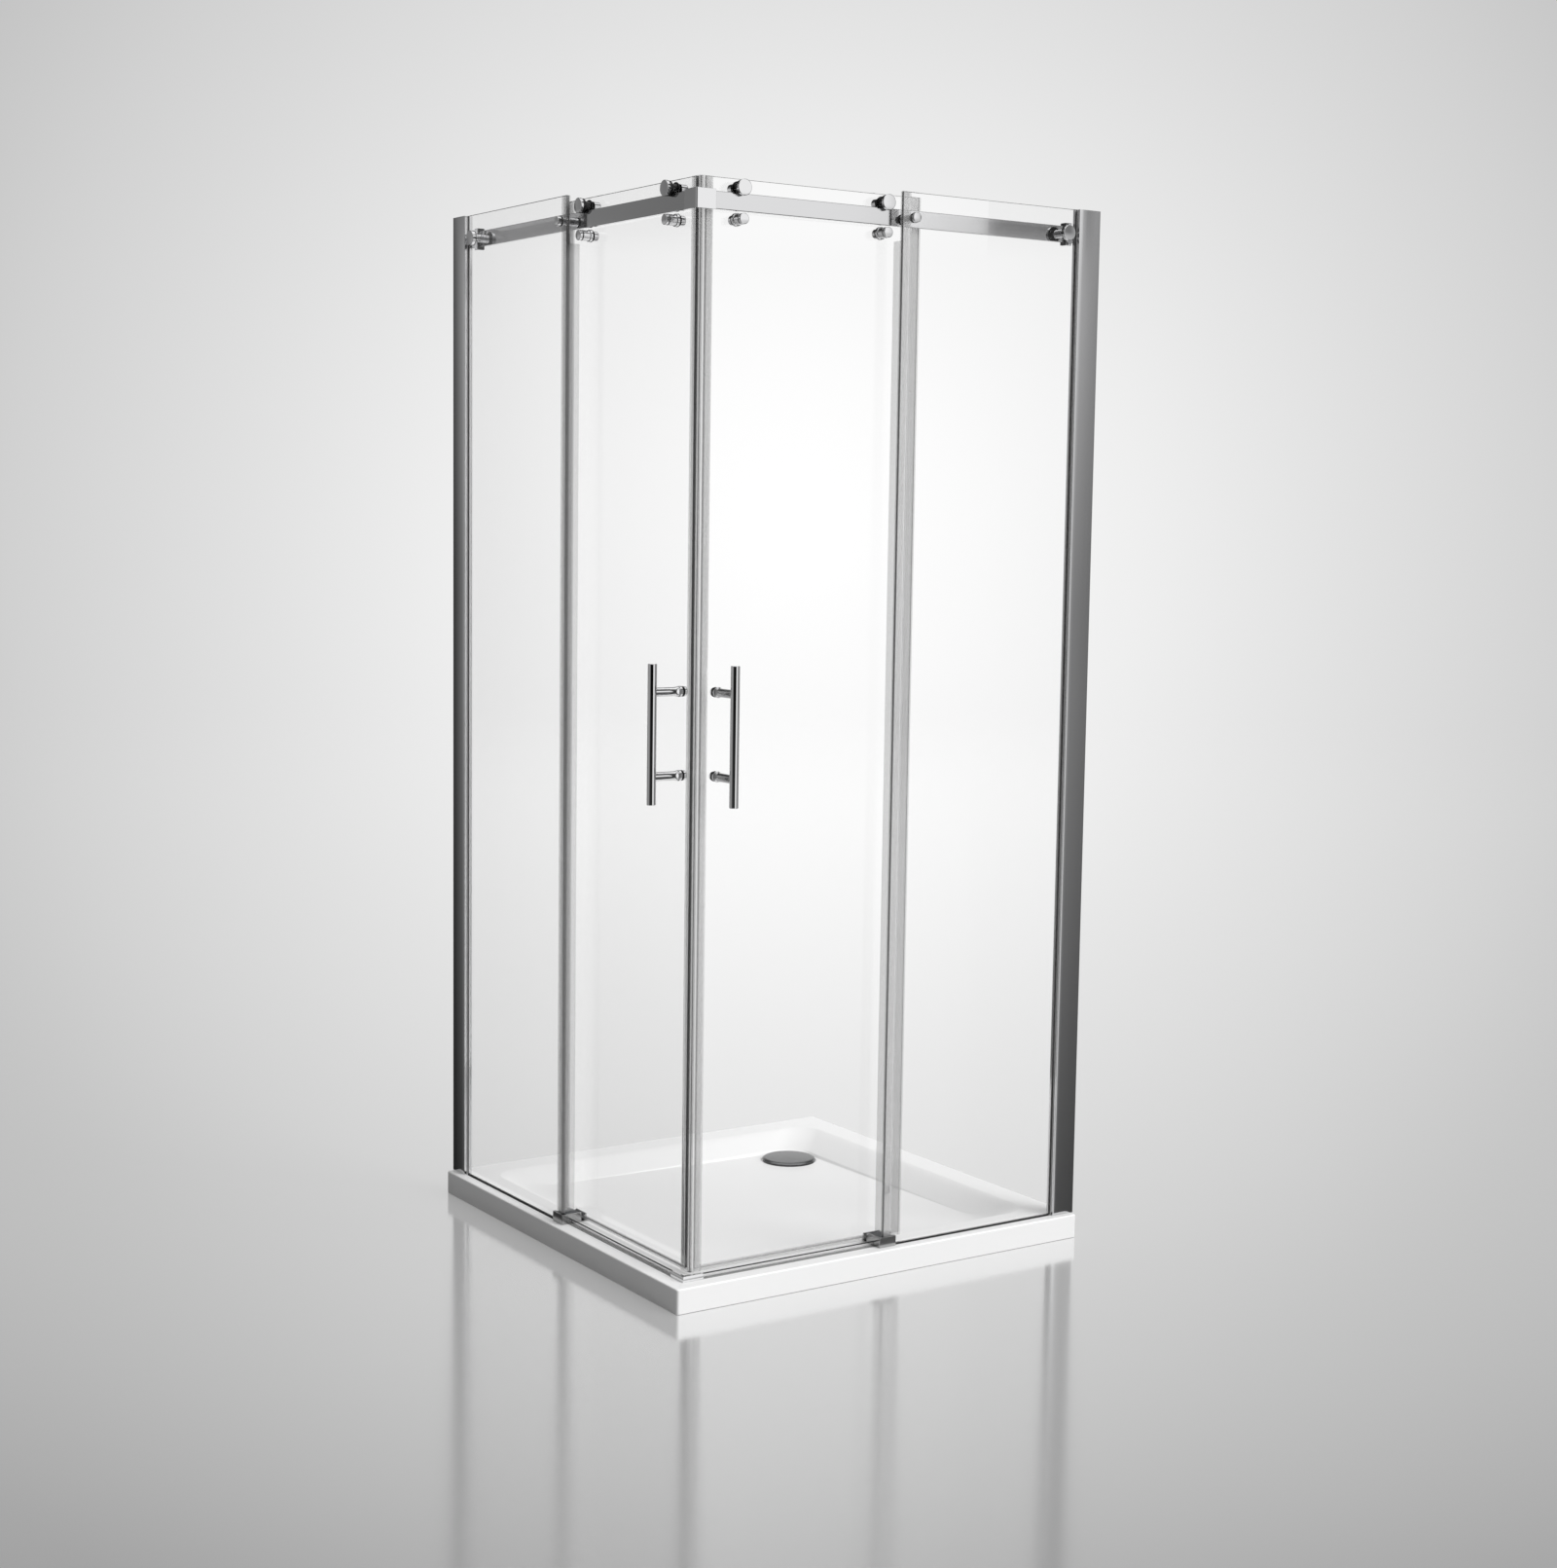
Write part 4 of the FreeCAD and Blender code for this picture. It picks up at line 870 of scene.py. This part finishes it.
def room(tree, direction):
    """What bright metal mirrors: upright bands of light and dark wall under a broad lit ceiling."""
    right, ahead, up = [
        add(tree, "ShaderNodeVectorMath", {0: direction, 1: axis}, operation="DOT_PRODUCT").outputs["Value"]
        for axis in (rightward, facing(camera_azimuth, 0), Vector((0, 0, 1)))]
    turn = add(tree, "ShaderNodeMath", {0: right, 1: ahead}, operation="ARCTAN2")
    degrees = add(tree, "ShaderNodeMath", {0: turn}, operation="DEGREES")
    position = add(tree, "ShaderNodeMath", {0: degrees, 1: 180}, operation="ADD")
    past = add(tree, "ShaderNodeMath", {0: position, 1: panel_edge}, operation="GREATER_THAN")
    low, middle, upper, before_edge, beyond_edge, high = [
        ramp(tree, position, walls)
        for walls in (low_walls, middle_walls, upper_walls, panel_wall, beyond_panel, high_walls)]
    panel = add(tree, "ShaderNodeMix", {0: past, 6: before_edge, 7: beyond_edge}, data_type="RGBA")
    seen = low
    # Each band takes over from the one below between two sines of the angle above the horizon.
    for above, start, end in ((middle, -0.28, -0.07), (upper, -0.03, 0.1), (panel.outputs[2], 0.104, 0.116),
                              (high, 0.25, 0.5), (linear("#f6f6f6"), 0.68, 0.82)):
        share = add(tree, "ShaderNodeMapRange", {"Value": up, "From Min": start, "From Max": end})
        seen = add(tree, "ShaderNodeMix", {0: share, 6: seen, 7: above}, data_type="RGBA").outputs[2]
    return seen


def angle_from_pool(tree, direction):
    """Degrees between a direction and the axis of the painted pool of light, which no lamp throws."""
    unit = add(tree, "ShaderNodeVectorMath", {0: direction}, operation="NORMALIZE")
    along = add(tree, "ShaderNodeVectorMath", {0: unit, 1: pool_axis}, operation="DOT_PRODUCT")
    angle = add(tree, "ShaderNodeMath", {0: along.outputs["Value"]}, operation="ARCCOSINE")
    return add(tree, "ShaderNodeMath", {0: angle}, operation="DEGREES")


def made_up(tree, path):
    """Makes up for the light that each glass face takes, so that the backdrop is even behind the panes."""
    face_passes = 0.96
    crossed = path["Transmission Depth"]
    return add(tree, "ShaderNodeMath", {0: 1 / face_passes, 1: crossed}, operation="POWER")


def studio_world():
    """The painted pool of light as backdrop, round it the room for what metal mirrors, and an even grey as
    light.
    """
    world = bpy.data.worlds.new("studio")
    world.use_nodes = True
    world.cycles.sampling_method = "NONE"
    tree = world.node_tree
    tree.nodes.clear()
    direction = add(tree, "ShaderNodeTexCoord").outputs["Generated"]
    path = add(tree, "ShaderNodeLightPath").outputs
    off_axis = angle_from_pool(tree, direction)
    colour = backdrop = ramp(tree, off_axis, painted_pool_greys)
    beside = add(tree, "ShaderNodeMapRange", {"Value": off_axis, "From Min": 22.0, "From Max": 32.0})
    mirrored = add(tree, "ShaderNodeMix", {0: beside, 6: backdrop, 7: room(tree, direction)},
                   data_type="RGBA").outputs[2]
    for depth, other in (("Glossy Depth", mirrored), ("Diffuse Depth", (0.2, 0.2, 0.2, 1))):
        bounced = add(tree, "ShaderNodeMath", {0: path[depth], 1: 0.5}, operation="GREATER_THAN")
        colour = add(tree, "ShaderNodeMix", {0: bounced, 6: colour, 7: other}, data_type="RGBA").outputs[2]
    light = add(tree, "ShaderNodeBackground", {"Color": colour, "Strength": made_up(tree, path)})
    add(tree, "ShaderNodeOutputWorld", {"Surface": light})
    return world


scene.world = studio_world()


def lamp(name, direction, level, spread):
    """A far, broad lamp; level is what a white face square to it would add."""
    data = bpy.data.lights.new(name, "SUN")
    data.energy, data.angle = level * pi, radians(spread)
    made = placed(name, data)
    made.rotation_euler = Vector(direction).to_track_quat("Z", "Y").to_euler()
    made.visible_glossy = made.visible_transmission = False


lamp("overhead_softbox", (0.15, -0.1, 1), 0.6, 60)
lamp("right_softbox", (0.44, -0.82, 0.42), 0.82, 40)


def sweep_material():
    """The floor: pale, more than half mirror-like, with the pool of light painted into its colour and its
    glow.
    """
    glow_share, mirror_share, mirror_roughness, fade_start, fade_end = 0.65, 0.58, 0.125, 6.0, 14.0
    made = bpy.data.materials.new("pale_sweep")
    made.use_nodes = True
    tree = made.node_tree
    tree.nodes.clear()
    place = add(tree, "ShaderNodeTexCoord").outputs["Object"]
    path = add(tree, "ShaderNodeLightPath").outputs
    direction = add(tree, "ShaderNodeVectorMath", {0: place, 1: camera_place}, operation="SUBTRACT")
    tone = ramp(tree, angle_from_pool(tree, direction), painted_pool_greys)
    plain = add(tree, "ShaderNodeBsdfDiffuse", {"Color": tone})
    bounce = add(tree, "ShaderNodeBsdfDiffuse", {"Color": linear("#909090")})
    # The glow, which paints the pool of light on the floor, is 1.07 in plain sight. Behind glass it also
    # makes up for what the mirror's share loses.
    level = add(tree, "ShaderNodeMath", {0: made_up(tree, path), 1: 3.1, 2: -2.03},
                operation="MULTIPLY_ADD")
    glow = add(tree, "ShaderNodeEmission", {"Color": tone, "Strength": level})
    lit = add(tree, "ShaderNodeMixShader", {0: glow_share, 1: plain, 2: glow})
    mirror = add(tree, "ShaderNodeBsdfGlossy", {"Color": (1, 1, 1, 1), "Roughness": mirror_roughness})
    glossy = add(tree, "ShaderNodeMixShader", {0: mirror_share, 1: lit, 2: mirror})
    in_view = add(tree, "ShaderNodeMath", {0: path["Diffuse Depth"], 1: 0.5}, operation="LESS_THAN")
    seen = add(tree, "ShaderNodeMixShader", {0: in_view, 1: bounce, 2: glossy})
    reach = add(tree, "ShaderNodeVectorMath", {0: place}, operation="LENGTH")
    fade = add(tree, "ShaderNodeMapRange", {"Value": reach.outputs["Value"], "From Min": fade_start,
               "From Max": fade_end}, interpolation_type="SMOOTHSTEP")
    clear = add(tree, "ShaderNodeBsdfTransparent")
    faded = add(tree, "ShaderNodeMixShader", {0: fade, 1: seen, 2: clear})
    add(tree, "ShaderNodeOutputMaterial", {"Surface": faded})
    return made


floor_reach, floor_height = 15, -0.0002
floor_corners = [(x * floor_reach, y * floor_reach, floor_height)
                 for x, y in ((-1, -1), (1, -1), (1, 1), (-1, 1))]
floor_mesh = bpy.data.meshes.new("sweep")
floor_mesh.from_pydata(floor_corners, [], [(0, 1, 2, 3)])
floor_mesh.materials.append(sweep_material())
floor = placed("sweep", floor_mesh)
floor.visible_glossy = False

scene.view_settings.view_transform = "Standard"
